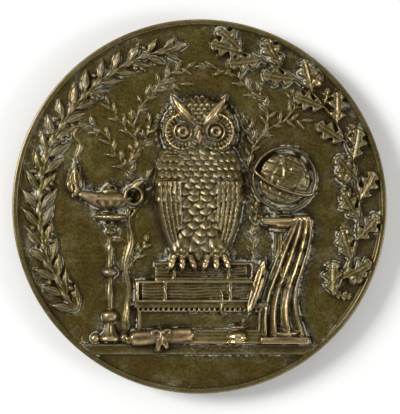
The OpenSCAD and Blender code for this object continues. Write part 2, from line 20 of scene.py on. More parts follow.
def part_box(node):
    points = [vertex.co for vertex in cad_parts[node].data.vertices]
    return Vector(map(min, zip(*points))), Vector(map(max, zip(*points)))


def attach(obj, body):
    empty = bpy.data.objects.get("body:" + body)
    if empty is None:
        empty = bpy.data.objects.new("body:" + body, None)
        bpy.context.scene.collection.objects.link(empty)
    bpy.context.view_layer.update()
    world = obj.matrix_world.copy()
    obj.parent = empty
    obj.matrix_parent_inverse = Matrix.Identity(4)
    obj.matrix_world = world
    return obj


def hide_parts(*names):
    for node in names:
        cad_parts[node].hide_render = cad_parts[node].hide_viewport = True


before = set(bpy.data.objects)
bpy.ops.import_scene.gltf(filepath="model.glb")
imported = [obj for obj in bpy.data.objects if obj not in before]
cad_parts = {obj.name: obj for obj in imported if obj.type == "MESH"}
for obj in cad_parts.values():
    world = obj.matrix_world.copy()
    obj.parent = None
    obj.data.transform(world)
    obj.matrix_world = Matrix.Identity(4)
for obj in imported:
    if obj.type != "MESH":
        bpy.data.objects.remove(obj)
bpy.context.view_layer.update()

# Metres in a millimetre; every size below is in millimetres and every angle in degrees
MM = 0.001

# Planchet, with the diameter and the thickness that the solid has
low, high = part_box("medallion")
MEDAL_R = (high.x - low.x) / 2 / MM
RIM_T = 4.4
RIM_W = 1.1
RIM_H = 0.6
COVE_W = 0.6
EDGE_R = 0.35
BACK_H = 0.3
BACK_RIM_W = 1.6
FIELD_R = MEDAL_R - RIM_W - COVE_W
FIELD_Z = RIM_T - RIM_H
# Inner slope of the rim, where casting and wear have left it
SLOPE_R = FIELD_R + 0.4
SLOPE_W = 0.5

# Ledge and plinth
EXERGUE_H = 5.4
LEDGE_H = 2.1
LEDGE_RISE = 0.9
STEP_W, STEP_H = 26.5, 1.9
BLOCK_W, BLOCK_H = 22.5, 4.4
CORNICE_W, CORNICE_H = 24.8, 1.2
DENTILS = 25
PLINTH_RISE = 1.4
PLINTH_LIP = 0.35
PANEL_MARGIN = 0.8
PANEL_SINK = 0.3
LEDGE_TOP = -FIELD_R + EXERGUE_H + LEDGE_H
LEDGE_HALF = math.sqrt(FIELD_R ** 2 - LEDGE_TOP ** 2)
BLOCK_Y = LEDGE_TOP + STEP_H
CORNICE_Y = BLOCK_Y + BLOCK_H
PLINTH_TOP = CORNICE_Y + CORNICE_H

# Books, each with its width, height and relief
LOW_BOOK = (21, 4, 2.1)
TOP_BOOK = (17.6, 3.3, 1.9)
BOOK_SHIFT = 0.7
COVER_T = 0.55
PAGE_SINK = 0.4
PAGE_PITCH = 0.56
TOP_BOOK_Y = PLINTH_TOP + LOW_BOOK[1]
OWL_SEAT = 0.15

# Owl
OWL_Y = TOP_BOOK_Y + TOP_BOOK[1] - OWL_SEAT
OWL_H = 29.5
OWL_W = 16.4
OWL_RISE = 3.0
EYE_GAP = 5.6
TUFT_L, TUFT_W = 7.1, 2.1
BEAK_L, BEAK_W = 3.2, 2.1
LEG_GAP = 6.1
LEG_D = 3.3
TOE_L, TOE_W = 3.0, 1.5
EYE_Y = OWL_Y + 0.80 * OWL_H
BEAK_Y = OWL_Y + 0.815 * OWL_H
TUFT_Y = OWL_Y + 0.84 * OWL_H
LEG_Y = OWL_Y + 0.08 * OWL_H

# Lamp and its stand
END_GAP = 0.9
STAND_W = 7.2
STAND_H = 23.4
BALL_D = 1.9
BELL_W, BELL_H = 4.0, 3.6
STEM_W = 1.5
PAN_W, PAN_H = 7.2, 2.3
PAN_BEADS = 15
BOWL_W, BOWL_H = 8.6, 3.5
LAMP_RISE = 2.0
LAMP_FOOT_W, LAMP_FOOT_H = 3.4, 0.8
SPOUT_L, SPOUT_W = 4.3, 2.4
SPOUT_TURN = 160
HANDLE_D, HANDLE_T = 3.1, 0.9
KNOB_D = 1.1
FLAME_H, FLAME_W = 6.6, 2.7
STAND_X = -(LEDGE_HALF - END_GAP - STAND_W / 2)
PAN_Y = LEDGE_TOP + STAND_H
BOWL_Y = PAN_Y + LAMP_FOOT_H

# Column and globe
COLUMN_FOOT_W = 8.8
SHAFT_W, SHAFT_H, SHAFT_RISE = 6.4, 17.6, 1.7
FLUTES = 5
FLUTED_ANGLE = 130
BLOCK_FOOT_H = 1.3
RING_H = 1.3
GLOBE_D = 9.6
GLOBE_RISE = 2.1
GLOBE_GAP = 0.5
GLOBE_WIRE = 0.7
GLOBE_FOOT_H, GLOBE_FOOT_W = 1.7, 2.9
GLOBE_LEAN = 23
PARALLEL_STEP, MERIDIAN_STEP = 22.5, 30
COLUMN_X = LEDGE_HALF - END_GAP - COLUMN_FOOT_W / 2
SHAFT_Y = LEDGE_TOP + BLOCK_FOOT_H + RING_H
ECHINUS_Y = SHAFT_Y + SHAFT_H
ABACUS_Y = ECHINUS_Y + RING_H
COLUMN_TOP = ABACUS_Y + BLOCK_FOOT_H
SHAFT_AXIS = SHAFT_RISE - SHAFT_W / 2
BLOCK_RISE = SHAFT_AXIS + 0.46 * COLUMN_FOOT_W

# Cloth, scroll, ink pot and quill
CLOTH_OVER = 0.35
CLOTH_GAP = 0.65
CLOTH_W = 9.4
CLOTH_RISE = 2.9
CLOTH_TOP = COLUMN_TOP + CLOTH_OVER
CLOTH_L = CLOTH_TOP - CLOTH_GAP - LEDGE_TOP
SCROLL_L, SCROLL_D, SCROLL_RISE = 11.6, 2.6, 2.5
SCROLL_PLACE = 1.0
SCROLL_TURN = 4
BAND_W = 0.9
POT_W, POT_H, POT_RISE = 4.4, 3.3, 2.7
POT_PLACE = 6.9
QUILL_L, QUILL_W, QUILL_TURN = 13.6, 2.3, 64

# Branches, whose sweep and top gap are angles
BRANCH_INSET = 3.3
STEM_D = 0.9
LEAF_RISE = 1.0
TOP_GAP = 7
LAUREL_SWEEP, LAUREL_PITCH = 117, 3.2
LAUREL_L, LAUREL_W = 5.0, 1.5
BERRY_D = 1.1
OAK_SWEEP, OAK_PITCH = 108, 3.5
OAK_L, OAK_W = 6.2, 3.8
ACORN_W, ACORN_L = 2.1, 3.2
BRANCH_R = FIELD_R - BRANCH_INSET
OLIVE_L, OLIVE_W, OLIVE_PITCH = 2.3, 0.85, 1.15
OLIVE_RISE = 0.42

# How far under the field slabs are rooted, and the height from which heights are read off
ROOT = 0.5
ABOVE = 9.0
# Height over the field that no form passes
HIGHEST = 3.2
# Spacing of the heights that are read off
READ_STEP = 0.08
# Panels across the face before it is thinned, where their last circle lies, and triangles left on it
SKIN_PANELS = 560
SKIN_R = MEDAL_R - EDGE_R - 0.35
FACE_TRIANGLES = 160000
# Longest edge that thinning may leave on the face
LONGEST_EDGE = 0.8

# Outlines of flat forms: share of the length, half width as a share of the width
LAUREL = [(0, 0.05), (0.22, 0.34), (0.48, 0.50), (0.75, 0.34), (1, 0.0)]
FLAME = [(0, 0.26), (0.16, 0.44), (0.36, 0.50), (0.6, 0.29), (0.82, 0.12), (1, 0.0)]
FEATHER = [(0, 0.36), (0.4, 0.48), (0.72, 0.47), (0.9, 0.32), (1, 0.0)]
QUILL = [(0, 0.07), (0.25, 0.09), (0.31, 0.26), (0.42, 0.38), (0.62, 0.44), (0.84, 0.38), (1, 0.02)]
TUFT = [(0, 0.24), (0.35, 0.50), (0.75, 0.32), (1, 0.0)]
BEAK = [(0, 0.34), (0.3, 0.50), (0.7, 0.32), (1, 0.03)]
TOE = [
    (0, 0.36), (0.2, 0.46), (0.36, 0.40), (0.52, 0.48), (0.66, 0.38), (0.78, 0.30), (0.9, 0.14),
    (1, 0.02),
]
RIBBON_END = [(0, 0.3), (0.8, 0.5), (0.93, 0.42), (1, 0.5)]
OLIVE = [(0, 0.06), (0.3, 0.42), (0.6, 0.46), (1, 0.0)]
OAK = [
    (0, 0.06), (0.07, 0.08), (0.15, 0.29), (0.23, 0.40), (0.30, 0.35), (0.36, 0.19), (0.42, 0.21),
    (0.50, 0.43), (0.58, 0.51), (0.65, 0.43), (0.71, 0.23), (0.76, 0.25), (0.83, 0.35), (0.90, 0.30),
    (0.96, 0.18), (1, 0.0),
]
# Where the veins of an oak leaf leave its midrib, as shares of its length
OAK_VEINS = (0.22, 0.55, 0.82)

# Outlines of turned forms: share of the height, half width as a share of the width
SPINE = [(0, 0.9), (0.1, 1), (0.5, 1.0), (0.9, 1), (1, 0.9)]
BELL = [(0, 0.5), (0.2, 0.5), (0.34, 0.4), (0.7, 0.26), (1, 0.2)]
STAND_STEM = [
    (0, 0.5), (0.03, 0.9), (0.07, 1.05), (0.1, 0.98), (0.13, 0.5), (0.18, 0.42), (0.3, 0.5),
    (0.43, 0.4), (0.46, 0.5), (0.485, 0.86), (0.51, 0.98), (0.535, 0.86), (0.56, 0.5), (0.6, 0.4),
    (0.75, 0.5), (0.88, 0.38), (0.91, 0.7), (0.94, 0.5), (1, 0.9),
]
PAN = [(0, 0.1), (0.3, 0.2), (0.55, 0.44), (0.72, 0.5), (0.86, 0.5), (1, 0.46)]
LAMP_FOOT = [(0, 0.5), (0.25, 0.52), (0.5, 0.36), (1, 0.5)]
SPOUT = [(0, 0.55), (0.3, 0.46), (0.7, 0.31), (0.84, 0.30), (0.9, 0.44), (0.96, 0.46), (1, 0.40)]
COLUMN_RING = [
    (0, 0.42), (0.15, 0.455), (0.4, 0.465), (0.65, 0.455), (0.75, 0.41), (0.85, 0.39), (0.92, 0.40),
    (1, 0.38),
]
ECHINUS = [(0, 0.34), (0.12, 0.36), (0.2, 0.345), (0.3, 0.34), (0.55, 0.39), (0.8, 0.45), (1, 0.46)]
GLOBE_FOOT = [(0, 0.40), (0.2, 0.34), (0.35, 0.2), (0.66, 0.16), (0.8, 0.26), (1, 0.36)]
OUTER_TURN = [(0, 0.5), (0.02, 0.51), (0.5, 0.5), (0.98, 0.51), (1, 0.5)]
MIDDLE_TURN = [(0, 0.36), (0.5, 0.38), (1, 0.36)]
INNER_TURN = [(0, 0.2), (0.5, 0.2), (1, 0.2)]
BAND = [(0, 0.5), (0.15, 0.58), (0.85, 0.58), (1, 0.5)]
# Loose edge of the scroll: where along it as a share of its length, and how far off its middle line
SCROLL_EDGE = ((-0.46, -0.62), (-0.2, -0.55), (0.1, -0.66), (0.46, -0.58))
INK_POT = [
    (0, 0.42), (0.06, 0.49), (0.14, 0.5), (0.18, 0.46), (0.24, 0.49), (0.55, 0.46), (0.70, 0.33),
    (0.82, 0.31), (0.87, 0.41), (0.94, 0.43), (1, 0.40),
]
NUT = [(0, 0.3), (0.25, 0.48), (0.5, 0.5), (0.75, 0.38), (0.88, 0.16), (0.94, 0.09), (1, 0.03)]
CUP = [(0, 0.28), (0.3, 0.54), (0.7, 0.60), (0.9, 0.60), (1, 0.52)]

# Sections of the owl from its feet up: share of its height, half width as a share of its width,
# and relief as a share of its rise
OWL_BODY = [
    (0, 0.20, 0.48), (0.06, 0.30, 0.66), (0.16, 0.40, 0.78), (0.28, 0.465, 0.87), (0.40, 0.50, 0.92),
    (0.52, 0.495, 0.93), (0.63, 0.46, 0.90), (0.71, 0.37, 0.82), (0.76, 0.22, 0.66),
]
OWL_HEAD = [
    (0.64, 0.22, 0.6), (0.68, 0.34, 0.84), (0.74, 0.41, 0.94), (0.81, 0.43, 0.97), (0.88, 0.405, 0.93),
    (0.94, 0.34, 0.82), (0.98, 0.24, 0.66), (1, 0.12, 0.46),
]
# Where the long wing feathers start, as a share of the owl's height
WING_ROOT = 0.50
# Disc of feathers round an eye: distance from the pupil's middle, height
FACE_DISC = [
    (0, 2.74), (0.34, 2.76), (0.50, 2.98), (0.85, 2.94), (1.10, 2.72), (1.25, 2.40), (1.38, 2.58),
    (1.50, 2.74), (1.68, 2.66), (1.86, 2.30), (2.3, 2.30), (2.75, 2.46), (3.0, 2.68), (3.3, 2.66),
    (3.5, 2.2),
]
# Ridge of the beak: share of its length, height
BEAK_RIDGE = [(0, 3.0), (0.25, 3.24), (0.6, 3.22), (0.85, 2.95), (1, 2.5)]
# Feathers of an ear tuft: turn, shares of its length and width, height, and shift across
TUFT_FEATHERS = (
    (24, 0.66, 0.8, 2.75, 0.5), (62, 0.62, 0.8, 2.75, 0.1), (33, 0.84, 0.85, 2.9, 0.3),
    (43, 1.0, 0.95, 3.1, 0.2),
)
# Tongues of the flame: shift across, turn, shares of its height and width, bend and height
TONGUES = (
    (-0.5, 108, 0.66, 0.5, -1.3, 1.15), (0.5, 70, 0.78, 0.5, 1.5, 1.2),
    (0.1, 88, 1.0, 0.8, 0.1 * FLAME_W, 1.6), (-0.3, 97, 0.5, 0.42, -0.5, 1.8),
    (0.3, 80, 0.42, 0.42, 0.4, 1.85),
)

# Cloth from the abacus down: where along it, the middle's shift, the half width and how far the folds
# lie over, as shares of its width, the height there as a share of its rise, and how deep the folds cut
CLOTH_SECTIONS = [
    (0, 0.34, 0.155, 0, 0.90, 0.2), (0.015, 0.34, 0.16, 0, 1, 0.2),
    (0.085, 0.32, 0.21, 0.02, 0.93, 0.35), (0.24, 0.21, 0.29, 0.05, 0.75, 1),
    (0.42, 0.06, 0.32, 0.07, 0.64, 1), (0.60, -0.08, 0.35, 0.05, 0.65, 1),
    (0.78, -0.12, 0.41, 0.02, 0.77, 1), (0.92, -0.08, 0.47, 0, 0.85, 1), (1, -0.06, 0.50, 0, 0.84, 1),
]
# Folds across the cloth: where across, height as a share of the section's
CLOTH_FOLDS = [
    (0, 0.30), (0.04, 0.62), (0.09, 0.80), (0.14, 0.70), (0.21, 0.56), (0.26, 0.60), (0.31, 0.96),
    (0.36, 0.94), (0.43, 0.74), (0.50, 0.60), (0.55, 0.62), (0.59, 0.92), (0.64, 0.86), (0.70, 0.66),
    (0.75, 0.56), (0.79, 0.78), (0.84, 0.72), (0.90, 0.50), (0.94, 0.60), (1, 0.30),
]
# Creases dragged across the folds: height, where they start down the cloth, their slope, and their middle
CLOTH_DRAGS = (
    (0.26, 0.10, 0.12, 0.35), (0.24, 0.30, -0.12, 0.4), (0.22, 0.40, 0.22, 0.6),
    (0.20, 0.62, -0.14, 0.4),
)

# Places of the turf along the ledge
TURF = (-20.9, -20.2, -12.9, 20.3, 20.9, 10.2, -24.2, -23.1, 23.3, 24.0)
# Trunk of the olive tree between stand and books, and its twigs behind lamp, owl and globe
TRUNK = (
    (-12.9, LEDGE_TOP), (-13.3, -20.5), (-12.5, -16.0), (-13.4, -11.0), (-12.4, -6.0), (-12.9, -1.0),
    (-11.8, 4.0),
)
TWIGS = (
    ((-13.2, -11.5), (-11.2, -9.0), (-9.8, -6.6)),
    ((-12.6, -7.0), (-14.4, -5.6), (-15.0, -4.4)),
    ((-12.5, -2.0), (-10.4, 1.5), (-9.4, 5.2)),
    ((-11.9, 3.5), (-12.6, 7.5), (-11.4, 11.6), (-12.2, 15.4)),
    ((-12.4, 6.6), (-15.0, 9.2), (-16.4, 12.4)),
    ((-12.0, 9.0), (-10.0, 11.4), (-9.0, 14.6)),
    ((-11.6, 12.0), (-14.6, 15.8), (-16.4, 18.4)),
    ((-12.0, 14.6), (-10.4, 18.4), (-8.2, 21.2)),
    ((-10.2, 18.6), (-7.0, 22.2), (-4.6, 24.6), (-1.0, 25.4)),
    ((-7.2, 22.0), (-5.6, 22.4), (-3.4, 22.2)),
    ((-16.4, 12.4), (-19.2, 14.6), (-21.0, 15.2)),
    ((10.3, -9.5), (9.6, -5.0), (10.4, -1.0), (9.3, 3.4)),
    ((9.8, 2.0), (9.0, 7.4), (9.8, 11.4), (8.8, 15.0)),
    ((9.6, 10.6), (12.2, 13.8), (15.6, 15.6), (18.6, 15.6)),
    ((12.0, 13.6), (12.4, 17.2), (11.0, 20.8)),
    ((11.4, 19.6), (8.6, 21.6), (6.4, 24.0), (3.2, 25.0)),
    ((15.4, 15.6), (17.2, 17.8), (17.0, 19.8)),
)

relief = bmesh.new()


def clip01(values):
    return np.clip(values, 0, 1)


def curve(rows, key):
    """Columns of a table at the places in key, on smooth curves through its rows.

    The first column holds the places."""
    table = np.array(rows, float)
    places, values = table[:, 0], table[:, 1:]
    slopes = np.gradient(values, places, axis=0)
    key = np.asarray(key, float)
    i = np.clip(np.searchsorted(places, key) - 1, 0, len(places) - 2)
    gap = (places[i + 1] - places[i])[..., None]
    f = clip01((key - places[i])[..., None] / gap)
    mixed = (
        (2 * f**3 - 3 * f**2 + 1) * values[i]
        + (f**3 - 2 * f**2 + f) * gap * slopes[i]
        + (3 * f**2 - 2 * f**3) * values[i + 1]
        + (f**3 - f**2) * gap * slopes[i + 1]
    )
    return np.moveaxis(mixed, -1, 0)


def hump(distance, width):
    """A rounded ridge, 1 high in its middle and down to a third at width to either side."""
    return np.exp(-((distance / width) ** 2))


def swell(u, start=0.0):
    """Half a wave along a form; with a start above 0 it has risen a little at the root, and ends sooner."""
    return np.sin(math.pi * np.minimum(u + start, 1))


def at(x0, y0, turn=0.0, side=1, on=None):
    """Where a form's own x and y come to lie, on the face or on another place; side -1 mirrors them."""
    c, s = math.cos(math.radians(turn)), math.sin(math.radians(turn))

    def place(x, y):
        x, y = side * (x0 + x * c - y * s), y0 + x * s + y * c
        return on(x, y) if on else (x, y)

    return place


def through(points):
    """A smooth path through points, for u from 0 to 1."""
    rows = [(i / (len(points) - 1), *point) for i, point in enumerate(points)]
    return lambda u: curve(rows, clip01(u))


def mesh_of(form, name):
    """Makes a mesh of a finished form."""
    mesh = bpy.data.meshes.new(name)
    form.to_mesh(mesh)
    form.free()
    return mesh


def put_in_scene(name, data):
    made = bpy.data.objects.new(name, data)
    bpy.context.scene.collection.objects.link(made)
    return made


def coordinates(mesh):
    """The mesh's points, one in each row."""
    flat = np.zeros(len(mesh.vertices) * 3)
    mesh.vertices.foreach_get("co", flat)
    return flat.reshape(-1, 3)


def set_points(form, x, y, z):
    for vert, point in zip(form.verts, zip(*np.broadcast_arrays(x, y, z))):
        vert.co = point


def press(form, place, seat=None):
    """Puts a finished form where it belongs in the relief, raised by what it lies on."""
    x, y, z = np.array([vert.co for vert in form.verts]).T
    x, y = place(x, y)
    set_points(form, x, y, z + (seat(x, y) if seat else 0))
    mesh = mesh_of(form, "form")
    relief.from_mesh(mesh, face_normals=False, vertex_normals=False)
    bpy.data.meshes.remove(mesh)


def sheet(along, across, shape, place=at(0, 0), seat=None):
    """Lays a sheet of panels; shape gives x, y and z for u along it and v across it, from 0 to 1."""
    form = bmesh.new()
    bmesh.ops.create_grid(form, x_segments=along, y_segments=across, size=0.5)
    u, v = np.array([vert.co.xy for vert in form.verts]).T + 0.5
    set_points(form, *shape(u, v))
    press(form, place, seat)


def blade(outline, length, width, section, place, bend=0.0, seat=None, along=14, across=8, sweep=0.0):
    """A leaf, feather or tongue along x; section gives its height for u along it and t, -1 to 1, across it.

    Sweep draws its edges forward, as the lobes of an oak leaf point to its tip."""

    def shape(u, v):
        t = 2 * v - 1
        half = width * np.maximum(curve(outline, u)[0], 0)
        return u * length + sweep * half * t * t * (1 - u), bend * u * u + t * half, section(u, t)

    sheet(along, across, shape, place, seat)


def strip(path, half, height, place=at(0, 0), along=40):
    """A rounded ridge along a path; path gives x and y for u, half and height its half width and top."""

    def shape(u, v):
        t = 2 * v - 1
        x, y = path(u)
        ahead, behind = path(u + 0.002), path(u - 0.002)
        dx, dy = ahead[0] - behind[0], ahead[1] - behind[1]
        reach = np.maximum(np.hypot(dx, dy), 1e-9)
        w = half(u) if callable(half) else half
        top = height(u) if callable(height) else height
        return x - dy / reach * t * w, y + dx / reach * t * w, top * np.sqrt(1 - 0.94 * t * t)

    sheet(along, 6, shape, place)


def slab(width, height, rise):
    """A sharp-edged slab about the origin, rooted under the field."""
    form = bmesh.new()
    bmesh.ops.create_cube(form, size=1)
    bmesh.ops.scale(form, vec=(width, height, rise + ROOT), verts=form.verts)
    bmesh.ops.translate(form, vec=(0, 0, (rise - ROOT) / 2), verts=form.verts)
    return form


def block(width, height, rise, place, bevel=0.14):
    """A slab centred on its place, with softened edges."""
    form = slab(width, height, rise)
    bmesh.ops.bevel(form, geom=form.edges[:], offset=bevel, offset_type="OFFSET", segments=3,
                    profile=0.5, affect="EDGES", material=-1)
    bmesh.ops.subdivide_edges(form, edges=[e for e in form.edges if e.calc_length() > 2], cuts=7,
                              use_grid_fill=True)
    press(form, place)


def ball(diameter, place, z=0.0, stretch=(1, 1, 1)):
    form = bmesh.new()
    bmesh.ops.create_uvsphere(form, u_segments=20, v_segments=12, radius=diameter / 2)
    bmesh.ops.scale(form, vec=stretch, verts=form.verts)
    bmesh.ops.translate(form, vec=(0, 0, z), verts=form.verts)
    press(form, place)


def spun(row, axis, angle, steps):
    """The form that a row of points sweeps as it spins about an axis through the origin."""
    form = bmesh.new()
    verts = [form.verts.new(point) for point in row]
    for a, b in zip(verts, verts[1:]):
        form.edges.new((a, b))
    bmesh.ops.spin(form, geom=form.verts[:] + form.edges[:], cent=(0, 0, 0), axis=axis, angle=angle,
                   steps=steps, use_merge=angle == 2 * math.pi)
    return form


def cut_flutes(form, height, count, depth, start, end):
    """Cuts flutes into a turned form, from start to end as shares of its height."""
    for vert in form.verts:
        share = vert.co.y / height
        if start < share < end:
            around = math.atan2(vert.co.z, vert.co.x)
            fade = math.sin(math.pi * (share - start) / (end - start)) ** 0.4
            cut = 1 - depth * fade * (1 - abs(math.cos(count * around)))
            vert.co.x *= cut
            vert.co.z *= cut


def turned(outline, width, height, place, axis=0.0, flatten=1.0, flutes=None, rings=36):
    """Half of a turned form that stands along y, with its axis at a height and its depth flattened.

    Flutes are given as how many there are, how deep they cut, and from where to where up it they run."""
    share = np.linspace(0, 1, rings)
    radius = width * np.maximum(curve(outline, share)[0], 0)
    form = spun([(r, height * s, 0) for r, s in zip(radius, share)], (0, -1, 0), math.pi, 40)
    if flutes:
        cut_flutes(form, height, *flutes)
    for vert in form.verts:
        vert.co.z = vert.co.z * flatten + axis
    press(form, place)


def ring(diameter, wire, rise, place):
    """A rounded ridge on a circle."""
    across = np.linspace(0, math.pi, 9)
    row = [(diameter / 2 + wire / 2 * math.cos(a), 0, rise * math.sin(a) ** 0.8) for a in across]
    press(spun(row, (0, 0, 1), 2 * math.pi, 72), place)


def ledge():
    """Ledge across the lower third, with a lip along its top and tufts of turf."""
    lip = LEDGE_H / 4
    block(2 * MEDAL_R, LEDGE_H, 0.72 * LEDGE_RISE, at(0, LEDGE_TOP - LEDGE_H / 2))
    block(2 * MEDAL_R, lip, LEDGE_RISE, at(0, LEDGE_TOP - lip / 2))
    rng = random.Random(4)
    for x in TURF:
        for _ in range(4):
            length = rng.uniform(1.0, 2.3)
            place = at(x + rng.uniform(-0.5, 0.5), LEDGE_TOP - 0.1, 90 + rng.uniform(-34, 34))
            blade(LAUREL, length, 0.5, lambda u, t: 0.55 * (1 - 0.5 * t * t) * (1 - 0.5 * u), place,
                  bend=rng.uniform(-0.4, 0.4), along=8, across=4)


def ground():
    """Low rolling ground behind stand and column, which runs out towards the rim."""
    half = 26

    def shape(u, v):
        x = (2 * u - 1) * half
        brow = -15.5 + 1.4 * np.sin(0.35 * x + 1) + 0.6 * np.sin(0.9 * x)
        y = LEDGE_TOP + (brow - LEDGE_TOP) * v
        fade = clip01((half - np.abs(x)) / 4)
        return x, y, (0.34 + 0.05 * np.sin(1.9 * x + 0.8 * y)) * (1 - v * v) * fade - 0.02

    sheet(120, 12, shape)


def plinth():
    """Step, block with a framed bare panel, dentils and cornice."""
    lip = PLINTH_RISE + PLINTH_LIP
    block(STEP_W, STEP_H * 0.66, lip, at(0, LEDGE_TOP + STEP_H * 0.33))
    block(STEP_W - 1.4, STEP_H * 0.5, lip - 0.16, at(0, LEDGE_TOP + STEP_H * 0.75), bevel=0.3)
    form = slab(BLOCK_W, BLOCK_H, PLINTH_RISE)
    face = [f for f in form.faces if f.calc_center_median().z > PLINTH_RISE - 0.01]
    # Bands of the panel's frame from its outer edge inwards: width, and step up from the last one
    frame_bands = ((PANEL_MARGIN - 0.3, 0), (0.14, 0.12), (0.2, 0), (0.16, -PANEL_SINK - 0.12), (0.2, 0))
    for band, step in frame_bands:
        bmesh.ops.inset_region(form, faces=face, thickness=band)
        bmesh.ops.translate(form, vec=(0, 0, step), verts=list({v for f in face for v in f.verts}))
    press(form, at(0, BLOCK_Y + BLOCK_H / 2))
    pitch = (BLOCK_W + 0.6) / DENTILS
    for i in range(DENTILS):
        x = (i - (DENTILS - 1) / 2) * pitch
        block(0.55 * pitch, 0.62, lip - 0.1, at(x, CORNICE_Y - 0.2), bevel=0.06)
    block(CORNICE_W, CORNICE_H * 0.55, lip, at(0, PLINTH_TOP - CORNICE_H * 0.275))
    block(CORNICE_W - 1.0, CORNICE_H * 0.55, lip - 0.12, at(0, CORNICE_Y + CORNICE_H * 0.3), bevel=0.25)


def book(size, x, y, side):
    """Book lying flat: two boards, leaves between them, a spine with raised bands, and two clasps."""
    w, h, rise = size
    boards = (COVER_T / 2, h - COVER_T / 2)
    for board_y in boards:
        block(w, COVER_T, rise, at(x, y + board_y), bevel=0.12)

    def leaves(u, v):
        wander = 1.2 * np.sin(5 * u) + 0.8 * np.sin(17 * u)
        wave = 0.17 * np.sin(2 * math.pi * v * (h - COVER_T) / PAGE_PITCH + wander)
        wave *= 0.75 + 0.25 * np.sin(31 * u + 9 * v)
        return (u - 0.5) * (w - 1.3 * COVER_T), v * (h - COVER_T) + COVER_T / 2, rise - PAGE_SINK + wave

    sheet(90, 60, leaves, at(x + side * 0.65 * COVER_T, y))
    spine_x, spine_w = x - side * w / 2, 0.28 * h / 2
    turned(SPINE, spine_w, h, at(spine_x, y), flatten=rise / spine_w)
    for share in (0.22, 0.41, 0.60, 0.79):
        ball(0.5, at(spine_x, y + share * h), rise * 0.9, (1.9, 0.7, 1.0))
    for share in (-0.26, 0.30):
        clasp_x = x + side * share * w
        block(0.75, h + 0.1, rise + 0.02, at(clasp_x, y + h / 2), bevel=0.1)
        ball(0.55, at(clasp_x, y + h / 2), rise + 0.02)
        for board_y in boards:
            ball(0.8, at(clasp_x, y + board_y), rise - 0.1, (1, 0.6, 0.6))


def books():
    book(LOW_BOOK, -BOOK_SHIFT, PLINTH_TOP, 1)
    book(TOP_BOOK, BOOK_SHIFT, TOP_BOOK_Y, -1)
    # Ribbon that hangs out of the lower book's leaves over its board and the cornice
    ribbon = through([(x, PLINTH_TOP + y) for x, y in ((4.0, 2.0), (4.2, 0.3), (3.9, -1.3), (4.5, -2.6))])
    strip(ribbon, 0.42, lambda u: 2.25 - 0.4 * u, along=20)


def half_width(sections, share):
    """Half the owl's width at a share of its height."""
    return curve(sections, share)[0] * OWL_W


def owl_surface(sections, share):
    """Height of the owl's skin for x and y on the face; share is how much of the full relief it keeps."""
    def surface(x, y):
        half, top = curve(sections, (y - OWL_Y) / OWL_H)
        across = np.abs(x / np.maximum(half * OWL_W, 0.01))
        return share * OWL_RISE * top * np.maximum(1 - across ** 2.4, 0) ** 0.55

    return surface


# The skin lies lower than the solid's, and feathers, face discs and tufts fill it up again
body_surface = owl_surface(OWL_BODY, 0.90)
head_surface = owl_surface(OWL_HEAD, 0.86)


def feather(x, y, turn, length, width, lift, seat, side=1):
    """Short feather that points along turn and lies on its seat, its tip proud of the next one."""

    def section(u, t):
        return lift * (1.5 * u - 0.5) * (1 - 0.75 * t * t) + 0.10 * hump(t, 0.16) * u

    blade(FEATHER, length, width, section, at(x, y, turn, side), seat=seat, along=7, across=6)


def owl_skin():
    """Smooth body and head that the feathers lie on."""
    for sections, surface in ((OWL_BODY, body_surface), (OWL_HEAD, head_surface)):
        low_share, high_share = sections[0][0], sections[-1][0]

        def shape(u, v):
            share = low_share + (high_share - low_share) * u
            x, y = (2 * v - 1) * half_width(sections, share), OWL_Y + share * OWL_H
            return x, y, surface(x, y)

        sheet(60, 48, shape)


def owl_breast():
    """Rows of rounded feathers between the wings, larger towards the belly."""
    rng = random.Random(31)
    share, row = 0.03, 0
    while share < 0.70:
        size = 2.35 - 1.3 * share
        half = half_width(OWL_BODY, share) * (0.38 if share > 0.16 else 0.8)
        count = max(2, round(2 * half / size))
        y = OWL_Y + share * OWL_H + size * 0.62
        for i in range(count + row % 2):
            x = (i - (count - 1 + row % 2) / 2) * 2 * half / count + rng.uniform(-0.08, 0.08)
            feather(x, y, -90 + 5 * x + rng.uniform(-6, 6), 1.55 * size, 1.18 * size, 0.62, body_surface)
        share += 0.62 * size / OWL_H
        row += 1


def owl_wing(side):
    """Folded wing: long feathers that run down the side, and short ones over their roots."""

    def edge_turn(share, across):
        """Direction in which the body's side runs down from there."""
        here, there = (half_width(OWL_BODY, s) * across for s in (share, share - 0.04))
        return math.degrees(math.atan2(-0.04 * OWL_H, there - here))

    for k in range(5):
        across, tip_share = 0.90 - 0.105 * k, 0.035 + 0.05 * k

        def shape(u, v):
            t = 2 * v - 1
            share = WING_ROOT + (tip_share - WING_ROOT) * u
            narrow = np.sqrt(clip01(1 - ((u - 0.86) / 0.14) ** 2 * (u > 0.86)))
            barbs = 0.07 * np.cos(2 * math.pi * (15 * u + 1.3 * np.abs(t)))
            x = half_width(OWL_BODY, share) * (across + 0.085 * t * narrow)
            z = 0.26 - 0.40 * t + 0.14 * hump(t + 0.15, 0.14) + barbs * (u > 0.3)
            return x, OWL_Y + share * OWL_H, z

        sheet(60, 14, shape, at(0, 0, side=side), seat=body_surface)
    for row in range(7):
        share, size = 0.475 + 0.040 * row, 2.15 - 0.16 * row
        for i in range(4):
            across = 0.90 - 0.145 * i - 0.07 * (row % 2)
            feather(half_width(OWL_BODY, share) * across, OWL_Y + share * OWL_H, edge_turn(share, across),
                    1.5 * size, 1.05 * size, 0.66, body_surface, side)


